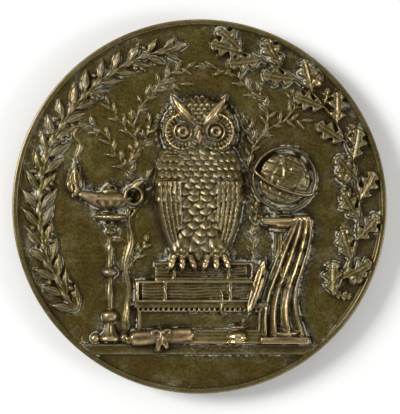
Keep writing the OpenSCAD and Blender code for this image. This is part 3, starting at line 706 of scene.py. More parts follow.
def owl_face(side):
    """Round disc of bristle feathers about an eye, with its lid and pupil."""

    def shape(u, v):
        angle, reach = 2 * math.pi * u, FACE_DISC[-1][0] * v
        bristles = 0.17 * np.cos(24 * angle) * clip01((reach - 1.75) / 0.5)
        return reach * np.cos(angle), reach * np.sin(angle), curve(FACE_DISC, reach)[0] + bristles

    sheet(208, 44, shape, at(EYE_GAP / 2 + 0.15, EYE_Y, side=side))


def owl_head(side):
    """Small feathers of crown and cheek, and the ear tuft over the eye."""
    for row in range(6):
        for i in range(4):
            x, y = 0.45 * (row % 2) + 0.9 * i, EYE_Y + 1.5 + 0.78 * row
            if x < half_width(OWL_HEAD, (y + 1 - OWL_Y) / OWL_H) - 1.2:
                feather(x, y, 90 - 9 * x, 1.4, 1.05, 0.42, head_surface, side)
    for reach in (3.7, 4.7, 5.7, 6.7):
        for turn in range(-70, 99, int(56 / reach)):
            a = math.radians(turn)
            x, y = EYE_GAP / 2 * 0.7 + reach * math.cos(a), EYE_Y + 0.2 + reach * math.sin(a)
            share = (y - OWL_Y) / OWL_H
            if 0.68 < share < 0.98 and 0 < x < half_width(OWL_HEAD, share) - 0.3:
                feather(x, y, turn if turn > 0 else turn * 1.1 - 6, 1.5, 1.15, 0.40, head_surface, side)
    for turn, length, width, rise, shift in TUFT_FEATHERS:
        def section(u, t):
            strands = 0.08 * np.cos(3 * math.pi * t + 3 * u)
            return rise * (0.62 + 0.38 * swell(u, 0.22)) - 0.55 * t * t + strands

        blade(TUFT, TUFT_L * length, TUFT_W * width, section, at(TUFT_W / 4 + shift, TUFT_Y, turn, side),
              bend=TUFT_L * length / 6, along=22, across=12)


def owl_beak():
    """Beak with its nostrils, between bristles that lie on the face."""
    for side in (1, -1):
        for i, turn in enumerate((-140, -122, -106, -92)):
            feather(0.2 + 0.32 * i, BEAK_Y + 0.5 - 0.28 * i, turn + 26 * i, 1.5, 0.6, 0.16,
                    lambda x, y: 2.5, side)

    def section(u, t):
        nostril = -0.22 * hump(u - 0.24, 0.08) * hump(np.abs(t) - 0.5, 0.2)
        return curve(BEAK_RIDGE, u)[0] - 0.85 * np.abs(t) ** 1.3 + nostril

    blade(BEAK, BEAK_L, BEAK_W, section, at(0, BEAK_Y, -90), along=18, across=12)


def owl_leg(side):
    """Feathered leg and three jointed toes, each ending in a claw over the book's edge."""

    def thigh(x, y):
        reach = ((x - side * LEG_GAP / 2) / 1.9) ** 2 + ((y - LEG_Y - 0.9) / 3.2) ** 2
        return 0.80 * OWL_RISE * np.sqrt(np.maximum(1 - 0.5 * reach, 0))

    ball(LEG_D, at(LEG_GAP / 2, LEG_Y, side=side), 0.8 * OWL_RISE - LEG_D / 2)
    for row in range(4):
        y = LEG_Y + 1.9 - 0.8 * row
        for i in range(2 + row % 2):
            shift = (i - (1 + row % 2) / 2) * 1.15
            feather(LEG_GAP / 2 + shift, y, -90 + 7 * shift, 1.7, 1.35, 0.22, thigh, side)

    def section(u, t):
        joints = 0.14 * np.cos(2 * math.pi * 2.9 * np.minimum(u, 0.72))
        claw = clip01((u - 0.72) / 0.28)
        return 0.92 * OWL_RISE * (0.86 + 0.14 * swell(u)) + joints * (1 - claw) - 0.5 * t * t - 0.6 * claw

    for share, turn, bend in ((-0.93, -16, -0.25), (0, 0, 0), (0.93, 16, 0.25)):
        place = at(LEG_GAP / 2 + share * TOE_W, OWL_Y + TOE_L / 2, turn - 90, side)
        blade(TOE, TOE_L * 1.12, TOE_W, section, place, bend=bend, along=26)


def owl():
    owl_skin()
    owl_breast()
    for side in (1, -1):
        owl_wing(side)
        owl_head(side)
        owl_face(side)
        owl_leg(side)
    owl_beak()


def lamp_stand():
    """Stand on ball feet with curved legs: bell with petals, stem with knops, and a beaded pan."""
    block(STAND_W - BALL_D, 0.45 * BALL_D, 0.3 * BALL_D + 0.1, at(STAND_X, LEDGE_TOP + 0.22 * BALL_D))
    for side in (-1, 1):
        x = STAND_X + side * (STAND_W - BALL_D) / 2
        ball(BALL_D, at(x, LEDGE_TOP + BALL_D / 2), 0.3 * BALL_D)
        leg = through([(0, 1.6), (side * 0.9, 1.5), (side * 1.7, 0.9), (side * 2.6, 0.75)])
        strip(leg, lambda u: 0.5 - 0.18 * u, lambda u: 1.2 - 0.3 * u, at(x - side * 2.6, LEDGE_TOP + 0.2))
    bell_y = LEDGE_TOP + 0.45 * BALL_D / 2
    turned(BELL, BELL_W, BELL_H, at(STAND_X, bell_y), flutes=(5, 0.14, 0.22, 0.98))
    stem_y = bell_y + 0.9 * BELL_H
    stem_h = STAND_H - PAN_H + PAN_H / 4 - (stem_y - LEDGE_TOP)
    turned(STAND_STEM, STEM_W, stem_h, at(STAND_X, stem_y), flutes=(4, 0.2, 0.6, 0.88), rings=140)
    pan_y, pan_axis = LEDGE_TOP + (STAND_H - PAN_H), LAMP_RISE - PAN_W / 2
    turned(PAN, PAN_W, PAN_H, at(STAND_X, pan_y), axis=pan_axis, flutes=(11, 0.05, 0.1, 0.62))
    for i in range(PAN_BEADS):
        a = math.pi * (i + 0.5) / PAN_BEADS
        ball(0.5, at(STAND_X + PAN_W / 2 * math.cos(a), pan_y + 0.80 * PAN_H),
             pan_axis + PAN_W / 2 * math.sin(a))


def lamp_bowl():
    """Gadrooned bowl with a raised band over the gadroons, on its foot."""
    form = bmesh.new()
    bmesh.ops.create_uvsphere(form, u_segments=96, v_segments=40, radius=1)
    bmesh.ops.rotate(form, matrix=Matrix.Rotation(math.pi / 2, 3, "X"), verts=form.verts)
    for vert in form.verts:
        level = vert.co.y
        if level < 0.05:
            grooves = 1 - abs(math.cos(8 * math.atan2(vert.co.x, vert.co.z)))
            cut = 0.10 * math.sin(math.pi * min(1, (0.05 - level) / 1.05)) ** 0.6 * grooves
            vert.co.x *= 1 - cut
            vert.co.z *= 1 - cut
        band = 1 + 0.06 * hump(level - 0.16, 0.07)
        vert.co = (vert.co.x * band * BOWL_W / 2, level * BOWL_H / 2, vert.co.z * band * LAMP_RISE)
    press(form, at(STAND_X, BOWL_Y + BOWL_H / 2))
    turned(LAMP_FOOT, LAMP_FOOT_W, LAMP_FOOT_H + 0.3, at(STAND_X, PAN_Y - 0.05), axis=0.1, flatten=0.6)


def flame(x0, y0):
    """Flame of five tongues, and the smoke that drifts up from it, very low."""
    for x, turn, length, width, bend, rise in TONGUES:
        def section(u, t):
            body = rise * (0.55 + 0.45 * swell(u, 0.2))
            return body * (1 - 0.35 * np.abs(t) ** 1.3) - 0.22 * hump(np.abs(t) - 0.42, 0.2) * swell(u)

        blade(FLAME, FLAME_H * length, FLAME_W * width, section, at(x0 + x, y0 - 0.2, turn), bend=bend,
              along=26, across=14)
    drift = ((0.3, FLAME_H - 0.4), (1.1, 8.4), (0.1, 10.4), (1.6, 12.6), (1.0, 14.6))
    smoke = through([(x0 + x, y0 + y) for x, y in drift])
    strip(smoke, lambda u: 0.35 + 0.5 * u, lambda u: 0.34 * (1 - u) + 0.04, along=50)


def lamp():
    """Oil lamp: bowl, spout and flame, ring handle with a leaf on it, and lid with knob."""
    lamp_bowl()
    spout_x, spout_y = STAND_X - 0.28 * BOWL_W, BOWL_Y + 0.52 * BOWL_H
    turned(SPOUT, SPOUT_W, SPOUT_L, at(spout_x, spout_y, SPOUT_TURN - 90), axis=LAMP_RISE / 4)
    a = math.radians(SPOUT_TURN)
    flame(spout_x + SPOUT_L * math.cos(a), spout_y + SPOUT_L * math.sin(a))
    handle_x, handle_y = STAND_X + BOWL_W / 2, BOWL_Y + 0.72 * BOWL_H
    ring(HANDLE_D, HANDLE_T, 0.8 * LAMP_RISE, at(handle_x, handle_y))
    blade(LAUREL, 2.6, 1.2, lambda u, t: 1.75 - 0.3 * t * t + 0.1 * hump(t, 0.2),
          at(handle_x - 0.2, handle_y + HANDLE_D / 2, 40), bend=-0.5)
    lid_y = BOWL_Y + 0.9 * BOWL_H
    ball(2 * KNOB_D, at(STAND_X, lid_y), KNOB_D / 3, (1.5, 0.8, 1.0))
    ring(2.6 * KNOB_D, 0.3, 1.0, at(STAND_X, lid_y - 0.1))
    ball(KNOB_D, at(STAND_X, lid_y + 1.1 * KNOB_D), KNOB_D / 3)


def column():
    """Column with a block foot, swelling ring, fluted shaft, echinus with eggs, and abacus."""
    block(COLUMN_FOOT_W, BLOCK_FOOT_H, BLOCK_RISE, at(COLUMN_X, LEDGE_TOP + BLOCK_FOOT_H / 2))
    turned(COLUMN_RING, COLUMN_FOOT_W, RING_H, at(COLUMN_X, LEDGE_TOP + BLOCK_FOOT_H), axis=SHAFT_AXIS)

    def shaft(u, v):
        # How far round the shaft a place lies from its front, in radians
        turn = (2 * v - 1) * 1.12
        taper = 1 - 0.12 * u + 0.02 * swell(u)
        ends = clip01(np.minimum(u, 1 - u) / 0.05) ** 0.5
        across = turn / math.radians(FLUTED_ANGLE / FLUTES)
        cut = 0.42 * np.abs(np.cos(math.pi * across)) ** 0.7 * ends * (np.abs(across) < FLUTES / 2)
        r = SHAFT_W / 2 * taper - cut
        return r * np.sin(turn), SHAFT_H * u, SHAFT_AXIS + r * np.cos(turn)

    sheet(70, 110, shaft, at(COLUMN_X, SHAFT_Y))
    turned(ECHINUS, COLUMN_FOOT_W, RING_H, at(COLUMN_X, ECHINUS_Y), axis=SHAFT_AXIS,
           flutes=(13, 0.07, 0.3, 1.0))
    block(COLUMN_FOOT_W, BLOCK_FOOT_H * 0.62, BLOCK_RISE, at(COLUMN_X, COLUMN_TOP - BLOCK_FOOT_H * 0.31))
    block(COLUMN_FOOT_W - 0.7, BLOCK_FOOT_H * 0.6, BLOCK_RISE - 0.12,
          at(COLUMN_X, ABACUS_Y + BLOCK_FOOT_H * 0.3), bevel=0.22)


def globe():
    """Globe on a foot, with its graticule, low land, a ring round it and a tilted ring in front."""
    foot_y = COLUMN_TOP + 0.15 * GLOBE_FOOT_H
    block(GLOBE_FOOT_W, 0.3 * GLOBE_FOOT_H, 0.8 * GLOBE_RISE, at(COLUMN_X, foot_y))
    turned(GLOBE_FOOT, GLOBE_FOOT_W, GLOBE_FOOT_H, at(COLUMN_X, foot_y), axis=GLOBE_FOOT_W / 6)
    radius = GLOBE_D / 2
    centre_y = COLUMN_TOP + GLOBE_FOOT_H + GLOBE_GAP + radius
    upright, leaning = at(COLUMN_X, centre_y), at(COLUMN_X, centre_y, -GLOBE_LEAN)

    def from_line(angle, spacing):
        """How far a place lies from the nearest line of the graticule, along the equator."""
        return np.abs((angle / spacing + 0.5) % 1 - 0.5) * spacing * radius

    def cap(u, v):
        angle, reach = 2 * math.pi * u, v ** 0.8
        x, y = reach * np.cos(angle), reach * np.sin(angle)
        z = np.sqrt(np.maximum(1 - reach ** 2, 0))
        north, east = np.arcsin(np.clip(y, -1, 1)), np.arctan2(x, z + 1e-6)
        from_parallel = from_line(north, math.radians(PARALLEL_STEP))
        from_meridian = from_line(east, math.radians(MERIDIAN_STEP)) * np.cos(north)
        lines = -0.20 * hump(np.minimum(from_parallel, from_meridian), 0.15)
        coast = (np.sin(2.3 * east + 1.1) * np.cos(2.6 * north - 0.5)
                 + 0.45 * np.sin(5.1 * east - 3.3 * north) + 0.2 * np.sin(13 * east + 11 * north))
        land = 0.15 * clip01((coast - 0.25) / 0.16)
        drawn = (lines * (1 - 4 * land) + land) * (reach < 0.97)
        return radius * x, radius * y, GLOBE_RISE * z ** 0.8 + drawn

    sheet(180, 90, cap, leaning)
    ring_d = GLOBE_D + 2 * GLOBE_GAP + GLOBE_WIRE
    ring(ring_d, GLOBE_WIRE, 0.6 * GLOBE_RISE, upright)
    ring(ring_d + 0.1, 0.22, 0.6 * GLOBE_RISE + 0.12, upright)
    for pole_y in (ring_d / 2, -ring_d / 2):
        ball(2.0 * GLOBE_WIRE, at(0, pole_y, on=leaning), 0.5 * GLOBE_WIRE)
    half_d = (ring_d + GLOBE_WIRE) / 2

    def tilted(u):
        a = math.pi * (1 + u)
        return half_d * np.cos(a), 0.32 * half_d * np.sin(a)

    def tilted_top(u):
        return GLOBE_RISE * (0.45 + 0.95 * swell(u))

    strip(tilted, 0.42, tilted_top, leaning, along=60)
    strip(tilted, 0.10, lambda u: tilted_top(u) + 0.12, leaning, along=60)


def cloth():
    """Cloth gathered over the abacus, falling across the shaft in deep folds to a hem."""

    def shape(u, v):
        shift, half, lie, rise, depth = curve(CLOTH_SECTIONS, u)
        fold = curve(CLOTH_FOLDS, v)[0]
        x = shift * CLOTH_W + half * CLOTH_W * (1 - 2 * v) + lie * CLOTH_W * swell(v)
        hem_wave = 0.35 * np.sin(2 * math.pi * 3.2 * v) * u ** 6
        creases = 0.05 * np.sin(2 * math.pi * (6.5 * v + 2.1 * u)) * swell(u)
        creases *= 0.5 + 0.5 * np.sin(9 * u + 5 * v)
        drags = sum(size * hump(u - start - slope * v, 0.026) * hump(v - middle, 0.26)
                    for size, start, slope, middle in CLOTH_DRAGS)
        hem = 0.12 * hump(u - 0.965, 0.008)
        z = CLOTH_RISE * rise * (1 - depth * (1 - fold)) + creases + drags + hem
        return x, -u * CLOTH_L + hem_wave, z

    sheet(170, 150, shape, at(COLUMN_X, CLOTH_TOP))


def scroll():
    """Rolled paper with its loose edge, inner turns at both ends, and a ribbon tied round it in a bow."""
    middle = at(-SCROLL_L / 2 - SCROLL_PLACE, LEDGE_TOP + SCROLL_D / 2, SCROLL_TURN)
    for outline, length, rings in (
        (OUTER_TURN, SCROLL_L - 0.7, 30), (MIDDLE_TURN, SCROLL_L, 36), (INNER_TURN, SCROLL_L + 0.4, 36),
        (BAND, BAND_W, 36),
    ):
        place = at(-length / 2, 0, -90, on=middle)
        turned(outline, SCROLL_D, length, place, axis=SCROLL_RISE - SCROLL_D / 2, rings=rings)
    strip(through([(share * SCROLL_L, y) for share, y in SCROLL_EDGE]), 0.16, SCROLL_RISE - 0.02, middle)

    def loop(u, t):
        return SCROLL_RISE + 0.28 - 0.35 * (1 - np.abs(t)) * swell(u) - 0.3 * u

    def tail(u, t):
        return SCROLL_RISE + 0.1 - 0.9 * u * u + 0.1 * t * t + 0.1 * np.sin(8 * u)

    for turn in (150, 30):
        blade(LAUREL, 2.2, 1.5, loop, at(0, 0.2, turn, on=middle), along=16)
    for turn, length, bend in ((-118, 2.9, 0.4), (-62, 2.5, -0.4)):
        blade(RIBBON_END, length, 1.0, tail, at(0, 0.1, turn, on=middle), bend=bend, along=16)
    ball(0.75, at(0, 0.2, on=middle), SCROLL_RISE + 0.1, (1, 1, 0.7))


def ink_pot():
    """Ink pot with a collar, and the quill that stands in it."""
    turned(INK_POT, POT_W, POT_H, at(POT_PLACE, LEDGE_TOP), axis=POT_RISE - POT_W / 2,
           flutes=(7, 0.05, 0.22, 0.72), rings=60)

    def section(u, t):
        vane = clip01((u - 0.27) / 0.05)
        barbs = 0.10 * np.cos(2 * math.pi * (22 * u - 2.2 * np.abs(t))) * np.abs(t) ** 0.5
        top = POT_RISE * (0.72 + 0.24 * swell(u, 0.12))
        splits = (hump(u - 0.50 - 0.10 * t, 0.010) * (t > 0.45)
                  + hump(u - 0.72 + 0.10 * t, 0.010) * (t < -0.35))
        cupped = barbs - 0.35 * t * t - 0.7 * splits - 0.25 * hump(np.abs(t) - 0.24, 0.12)
        return top + vane * cupped + 0.25 * hump(t, 0.12)

    place = at(POT_PLACE + 0.1 * POT_W, LEDGE_TOP + 0.8 * POT_H, QUILL_TURN)
    blade(QUILL, QUILL_L, QUILL_W, section, place, bend=0.12 * QUILL_L, along=130, across=16)


def on_branch(angle):
    """Place on the branches' circle, with x outward from the medal's middle."""
    a = math.radians(angle)
    return at(BRANCH_R * math.cos(a), BRANCH_R * math.sin(a), angle)


def branch_ends(leaf_l, sweep, side):
    """Angles at which a branch starts and ends; its last leaf points to the edge of the top gap."""
    end = 90 + side * (TOP_GAP / 2 + math.degrees(math.asin(leaf_l / BRANCH_R)))
    return end + side * sweep, end


def stem(start, end):
    """Stem along the branches' circle, with small knots where leaves leave it."""

    def path(u):
        a = np.radians(start + (end - start) * u)
        return BRANCH_R * np.cos(a), BRANCH_R * np.sin(a)

    def half(u):
        return STEM_D * (0.52 - 0.2 * u) * (1 + 0.14 * np.sin(90 * u))

    strip(path, half, lambda u: 0.75 - 0.2 * u, along=220)


def laurel_leaf(place, length, width, rise, bend):
    """Pointed leaf with a midrib that stands in a shallow trough."""

    def section(u, t):
        body = rise * (0.56 + 0.44 * swell(u, 0.08)) * (0.86 - 0.34 * t * t)
        return body + 0.20 * hump(t, 0.17) * (1 - 0.6 * u) - 0.16 * hump(np.abs(t) - 0.36, 0.18)

    blade(LAUREL, length, width, section, place, bend, along=16, across=14)


def laurel_branch():
    """Laurel leaves in threes along their stem, with berries among them."""
    start, end = branch_ends(LAUREL_L, LAUREL_SWEEP, 1)
    stem(start, end)
    count = int(math.radians(LAUREL_SWEEP) * BRANCH_R / LAUREL_PITCH)
    rng = random.Random(11)
    for i in range(count + 1):
        node = on_branch(start - LAUREL_SWEEP * i / count)
        small = 1 - 0.22 * (i / count) ** 3
        for side, lift in ((-1, 0.86), (1, 1)):
            turn = -90 + side * (27 + rng.uniform(-5, 5))
            laurel_leaf(at(side * STEM_D / 4, 0, turn, on=node), LAUREL_L * small * rng.uniform(0.94, 1.04),
                        LAUREL_W * 1.08 * small, LEAF_RISE * lift, side * LAUREL_L / 10)
        laurel_leaf(at(0, -1.4, -90 + rng.uniform(-9, 9), on=node), LAUREL_L * 0.72, LAUREL_W * 0.9,
                    LEAF_RISE * 1.12, rng.uniform(-0.3, 0.3))
        if i % 3 == 1:
            x, y = -0.94 * LAUREL_W, -0.5 * LAUREL_W
            ball(BERRY_D, at(x, y, on=node), 0.45 * BERRY_D)
            ball(BERRY_D * 0.86, at(x - 0.6, y - 1.0, on=node), 0.4 * BERRY_D)
            strip(through([(0, 0.6), (x * 0.6, 0.2), (x, y)]), 0.13, 0.5, node, along=10)
        if i % 3 == 2:
            ball(BERRY_D * 0.9, at(0.98 * LAUREL_W, -0.2 * LAUREL_W, on=node), 0.4 * BERRY_D)
    laurel_leaf(at(0, 0, -90, on=on_branch(end)), LAUREL_L, LAUREL_W, LEAF_RISE, 0)


def oak_leaf(place, length, width, low_rise, rise, bend):
    """Lobed leaf that swells to its middle, with a midrib and a vein into each pair of lobes."""

    def section(u, t):
        off = np.abs(t) * curve(OAK, u)[0] / 0.51
        crown = 0.74 + 0.26 * swell(u, 0.05)
        body = low_rise + (rise - low_rise) * crown * (0.92 - 0.34 * off ** 2) - 0.10 * t ** 8
        rib = 0.22 * hump(off, 0.08) * (1.1 - 0.6 * u) - 0.12 * hump(off - 0.20, 0.10)
        from_vein = np.min([np.abs(u - root) for root in OAK_VEINS], axis=0) * length
        return body + rib + 0.10 * hump(from_vein, 0.15) * clip01((0.9 - np.abs(t)) / 0.2) * (off > 0.1)

    blade(OAK, length, width, section, place, bend, along=60, across=22, sweep=0.4)


def acorn(place):
    """Nut with its point, in a scaly cup."""
    axis = 0.15
    turned(NUT, ACORN_W, ACORN_L, place, axis)
    turned(CUP, ACORN_W, 0.42 * ACORN_L, place, axis)
    for row, share in enumerate((0.42, 0.55, 0.60, 0.59)):
        count = 6 + row % 2
        for i in range(count):
            a = math.pi * (i + 0.5) / count
            scale = at(ACORN_W * share * math.cos(a), 0.10 * ACORN_L * (row + 0.6), on=place)
            ball(0.34, scale, axis + ACORN_W * share * math.sin(a))


def oak_branch():
    """Oak leaves to either side of their stem, with smaller low ones and acorns among them."""
    start, end = branch_ends(OAK_L, OAK_SWEEP, -1)
    stem(start, end)
    count = int(math.radians(OAK_SWEEP) * BRANCH_R / OAK_PITCH)
    rng = random.Random(5)
    for i in range(count + 1):
        node = on_branch(start + OAK_SWEEP * i / count)
        side = 1 if i % 2 == 0 else -1
        oak_leaf(at(0, 0, 90 + side * (34 + rng.uniform(-4, 4)), on=node), OAK_L * rng.uniform(0.94, 1.03),
                 OAK_W, 0.35, LEAF_RISE * (1.05 if side > 0 else 1.25), -side * OAK_L / 16)
        if i % 5 in (0, 3):
            oak_leaf(at(0, 0.4, 90 - side * (66 + rng.uniform(-6, 6)), on=node), OAK_L * 0.55, OAK_W * 0.6,
                     0.0, LEAF_RISE * 0.5, side * 0.3)
        if i % 5 == 1:
            acorn(at(0, 1.2 * STEM_D, on=at(0, 0, side * 66, on=node)))
    oak_leaf(at(0, 0, 90, on=on_branch(end)), OAK_L, OAK_W, 0.3, LEAF_RISE * 1.1, 0)


def olive_twig(points, rng):
    """Thin twig in low relief, with small leaves to either side."""
    path = through(points)
    strip(path, lambda u: 0.26 - 0.14 * u, lambda u: OLIVE_RISE * (0.9 - 0.3 * u))

    def section(u, t):
        return OLIVE_RISE * (0.75 + 0.3 * swell(u)) * (1 - 0.4 * t * t) - 0.1 * hump(t, 0.2)

    length = sum(math.dist(a, b) for a, b in zip(points, points[1:]))
    count = int(length / OLIVE_PITCH)
    for i in range(1, count + 1):
        u = i / count
        x, y = path(u)
        dx, dy = path(min(u + 0.02, 1)) - path(u - 0.02)
        side = 1 if i % 2 else -1
        turn = math.degrees(math.atan2(dy, dx)) + side * rng.uniform(26, 52) * (0.3 if i == count else 1)
        blade(OLIVE, OLIVE_L * rng.uniform(0.8, 1.1), OLIVE_W, section, at(x, y, turn),
              bend=rng.uniform(-0.25, 0.25), along=8, across=6)


def olive_tree():
    """Gnarled trunk with ridges of bark, and leafy twigs, all low and behind the other forms."""
    trunk = through(TRUNK)
    strip(trunk, lambda u: 0.95 - 0.55 * u + 0.12 * np.sin(23 * u), lambda u: 0.5 - 0.1 * u, along=90)
    for offset, rise in ((-0.3, 0.62), (0.28, 0.58)):
        def bark(u):
            x, y = trunk(u)
            return x + offset * (1 - 0.5 * u) * np.cos(7 * u), y

        strip(bark, 0.22, lambda u: rise - 0.12 * u, along=90)
    rng = random.Random(23)
    for points in TWIGS:
        olive_twig(points, rng)


def model_relief():
    ledge()
    ground()
    olive_tree()
    plinth()
    books()
    owl()
    lamp_stand()
    lamp()
    column()
    globe()
    cloth()
    scroll()
    ink_pot()
    laurel_branch()
    oak_branch()


# Heights of the face, on a square of places READ_STEP apart
COUNT = int(2 * SKIN_R / READ_STEP) + 9
PLACES = (np.arange(COUNT) - (COUNT - 1) / 2) * READ_STEP


def soften(heights, reach):
    """The same heights smoothed, with reach as the standard distance."""
    waves = np.fft.rfft2(heights)
    fy = np.fft.fftfreq(COUNT, READ_STEP)[:, None]
    fx = np.fft.rfftfreq(COUNT, READ_STEP)[None, :]
    return np.fft.irfft2(waves * np.exp(-2 * (math.pi * reach) ** 2 * (fx**2 + fy**2)), s=heights.shape)


def read_heights():
    """Heights of the relief, seen from above; nothing overhangs on a cast face."""
    tree = BVHTree.FromBMesh(relief)
    down = Vector((0, 0, -1))
    heights = np.zeros((COUNT, COUNT))
    reach = (SLOPE_R + SLOPE_W / 2) ** 2
    for row, y in enumerate(PLACES):
        for column, x in enumerate(PLACES):
            if x * x + y * y < reach:
                hit = tree.ray_cast((x, y, ABOVE), down)[0]
                if hit:
                    heights[row, column] = max(hit.z, 0)
    return heights


def unevenness(seed, reach):
    """Seeded unevenness of standard height 1."""
    rough = soften(np.random.default_rng(seed).normal(size=(COUNT, COUNT)), reach)
    return rough / rough.std()


def face_heights():
    """Cast and softened face: walls get a foot, edges are worn round, and the field is not quite flat."""
    raw = read_heights()
    foot = 0.55 * soften(raw, 0.36) - 0.06
    worn = np.maximum(soften(raw, 0.08), foot)
    # Fine forms get back some of the crispness that softening took
    detail = worn - soften(worn, 0.30)
    worn = soften(worn + np.clip(0.9 * detail, -0.16, 0.12), 0.05)
    distance = np.hypot(PLACES[None, :], PLACES[:, None])
    slope = clip01((distance - SLOPE_R) / SLOPE_W)
    rim = RIM_H * (slope * slope * (3 - 2 * slope))
    uneven = 0.055 * unevenness(3, 2.0) + 0.020 * unevenness(5, 0.8) + 0.012 * unevenness(8, 0.3)
    inside = clip01((SLOPE_R + 0.2 - distance) / 1.2)
    return np.maximum(np.minimum(worn, HIGHEST) + uneven * inside, rim)


def read_at(values, x, y):
    """Values of a square map at the given places."""
    column, row = (np.clip(key / READ_STEP + (COUNT - 1) / 2, 0, COUNT - 1.001) for key in (x, y))
    i, j = row.astype(int), column.astype(int)
    f, g = row - i, column - j
    return ((values[i, j] * (1 - g) + values[i, j + 1] * g) * (1 - f)
            + (values[i + 1, j] * (1 - g) + values[i + 1, j + 1] * g) * f)


def round_sheet(heights):
    """The face as a fine sheet of panels, drawn from a square to a round whose rows are circles."""
    form = bmesh.new()
    bmesh.ops.create_grid(form, x_segments=SKIN_PANELS, y_segments=SKIN_PANELS, size=1)
    mesh = mesh_of(form, "face")
    a, b, _ = coordinates(mesh).T
    wide = np.abs(a) > np.abs(b)
    reach, across = np.where(wide, (a, b), (b, a))
    share = across / np.where(reach == 0, 1, reach)
    turn = math.pi / 4 * np.where(wide, share, 2 - share)
    x, y = SKIN_R * reach * np.cos(turn), SKIN_R * reach * np.sin(turn)
    points = np.column_stack((x, y, FIELD_Z + read_at(heights, x, y)))
    mesh.vertices.foreach_set("co", points.ravel())
    return mesh


def thinned(mesh):
    """The face with fewer triangles where it is smooth."""
    draft = put_in_scene("face", mesh)
    thin = draft.modifiers.new("thin", "DECIMATE")
    thin.ratio = FACE_TRIANGLES / (2 * SKIN_PANELS ** 2)
    skin = bmesh.new()
    skin.from_object(draft, bpy.context.evaluated_depsgraph_get())
    bpy.data.objects.remove(draft)
    return skin


def split_long_edges(skin, heights):
    """Halves the edges that thinning left long, so that wear is read closely all over the face."""
    for _ in range(4):
        far = [edge for edge in skin.edges if edge.calc_length() > LONGEST_EDGE]
        bmesh.ops.subdivide_edges(skin, edges=far, cuts=1, use_single_edge=True)
        bmesh.ops.triangulate(skin, faces=[face for face in skin.faces if len(face.verts) > 3])
    x, y = np.array([vert.co.xy for vert in skin.verts]).T
    for vert, z in zip(skin.verts, FIELD_Z + read_at(heights, x, y)):
        vert.co.z = z


# Quarter round of radius 1: how far each of its points lies in from the two flats that it joins
QUARTER = [(1 - math.sin(a), 1 - math.cos(a)) for a in np.linspace(0, math.pi / 2, 5)]
# Outer skin from the face's last circle to the middle of the back: distance from the middle, height
BACK_SLOPE_R = MEDAL_R - BACK_RIM_W
EDGE_PROFILE = [
    *((MEDAL_R - EDGE_R * a, RIM_T - EDGE_R * b) for a, b in QUARTER),
    (MEDAL_R, RIM_T / 2),
    *((MEDAL_R - EDGE_R * a, EDGE_R * b) for a, b in reversed(QUARTER)),
    (BACK_SLOPE_R + 0.1, 0), (BACK_SLOPE_R, 0.03),
    (BACK_SLOPE_R - BACK_H, BACK_H - 0.03), (BACK_SLOPE_R - BACK_H - 0.1, BACK_H),
    *((MEDAL_R * share, BACK_H) for share in (0.8, 0.5, 0.2)),
]


def set_on_circle(edges, radius, z):
    for vert in {v for edge in edges for v in edge.verts}:
        direction = Vector((vert.co.x, vert.co.y)).normalized()
        vert.co = (direction.x * radius, direction.y * radius, z)


def draw_edge(skin):
    """Draws the sheet's last circle on, ring by ring, over the edge to the back, and closes it there."""
    border = [edge for edge in skin.edges if edge.is_boundary]
    set_on_circle(border, SKIN_R, RIM_T)
    for radius, z in EDGE_PROFILE:
        made = bmesh.ops.extrude_edge_only(skin, edges=border)["geom"]
        border = [g for g in made if isinstance(g, bmesh.types.BMEdge) and g.is_boundary]
        set_on_circle(border, radius, z)
    centre = skin.verts.new((0, 0, BACK_H))
    for edge in border:
        skin.faces.new((*edge.verts, centre))
    bmesh.ops.recalc_face_normals(skin, faces=skin.faces)


# Marks that the skin carries at each point, for the bronze to read
MARKS = ("seam", "hollow", "deep", "crest", "proud", "height")


def mark_wear_and_shade(mesh, heights):
    """Gives each point how hollow, how rubbed and how high it is; the bronze reads these for wear, residue,
    painted shade and painted highlight.
    """

    def below(reach, full):
        """How far a place lies below its surroundings within reach, as a share of full."""
        return clip01((soften(heights, reach) - heights) / full)

    def above(reach, full):
        return clip01((heights - soften(heights, reach)) / full)

    maps = (below(0.14, 0.09), below(0.22, 0.19), below(1.1, 0.8), above(0.45, 0.20), above(2.6, 1.1),
            clip01(heights / 3.0))
    x, y, z = coordinates(mesh).T
    distance = np.hypot(x, y)
    on_face = (z > FIELD_Z - 0.3) & (distance < SKIN_R + 0.01)
    on_rim = clip01((distance - SLOPE_R) / SLOPE_W)
    corner = clip01((distance - (MEDAL_R - 0.5)) / 0.3) * np.maximum(hump(z - RIM_T, 0.5), hump(z, 0.5))
    # What rim, edge and back have instead, in the order of the marks, and what the rim keeps of the face's
    elsewhere = (0, 0, 0, 0.75 * corner, 0.15 + 0.45 * corner, 0.1 + 0.5 * corner)
    kept = (1, 1, 1, 1 - 0.55 * on_rim, 1 - 0.4 * on_rim, 1)
    for name, values, off_face, share in zip(MARKS, maps, elsewhere, kept):
        layer = mesh.attributes.new(name, "FLOAT", "POINT")
        mark = np.where(on_face, read_at(values, x, y) * share, off_face)
        layer.data.foreach_set("value", mark.astype(np.float32))


def build_medal():
    model_relief()
    heights = face_heights()
    skin = thinned(round_sheet(heights))
    split_long_edges(skin, heights)
    draw_edge(skin)
    mesh = mesh_of(skin, "medal")
    mark_wear_and_shade(mesh, heights)
    mesh.transform(Matrix.Scale(MM, 4))
    mesh.shade_smooth()
    return put_in_scene("medal", mesh)


medal = build_medal()
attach(medal, "root")
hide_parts("medallion")

# Colours of the bronze: its patina in three shades and where it lies deep, then what lies on or under it;
# the grime also stands in as painted shade in the hollows
BROWN = (0.100, 0.065, 0.008, 1)
OLIVE_BROWN = (0.114, 0.086, 0.013, 1)
GREY_BROWN = (0.170, 0.138, 0.078, 1)
DULL_BROWN = (0.088, 0.068, 0.034, 1)
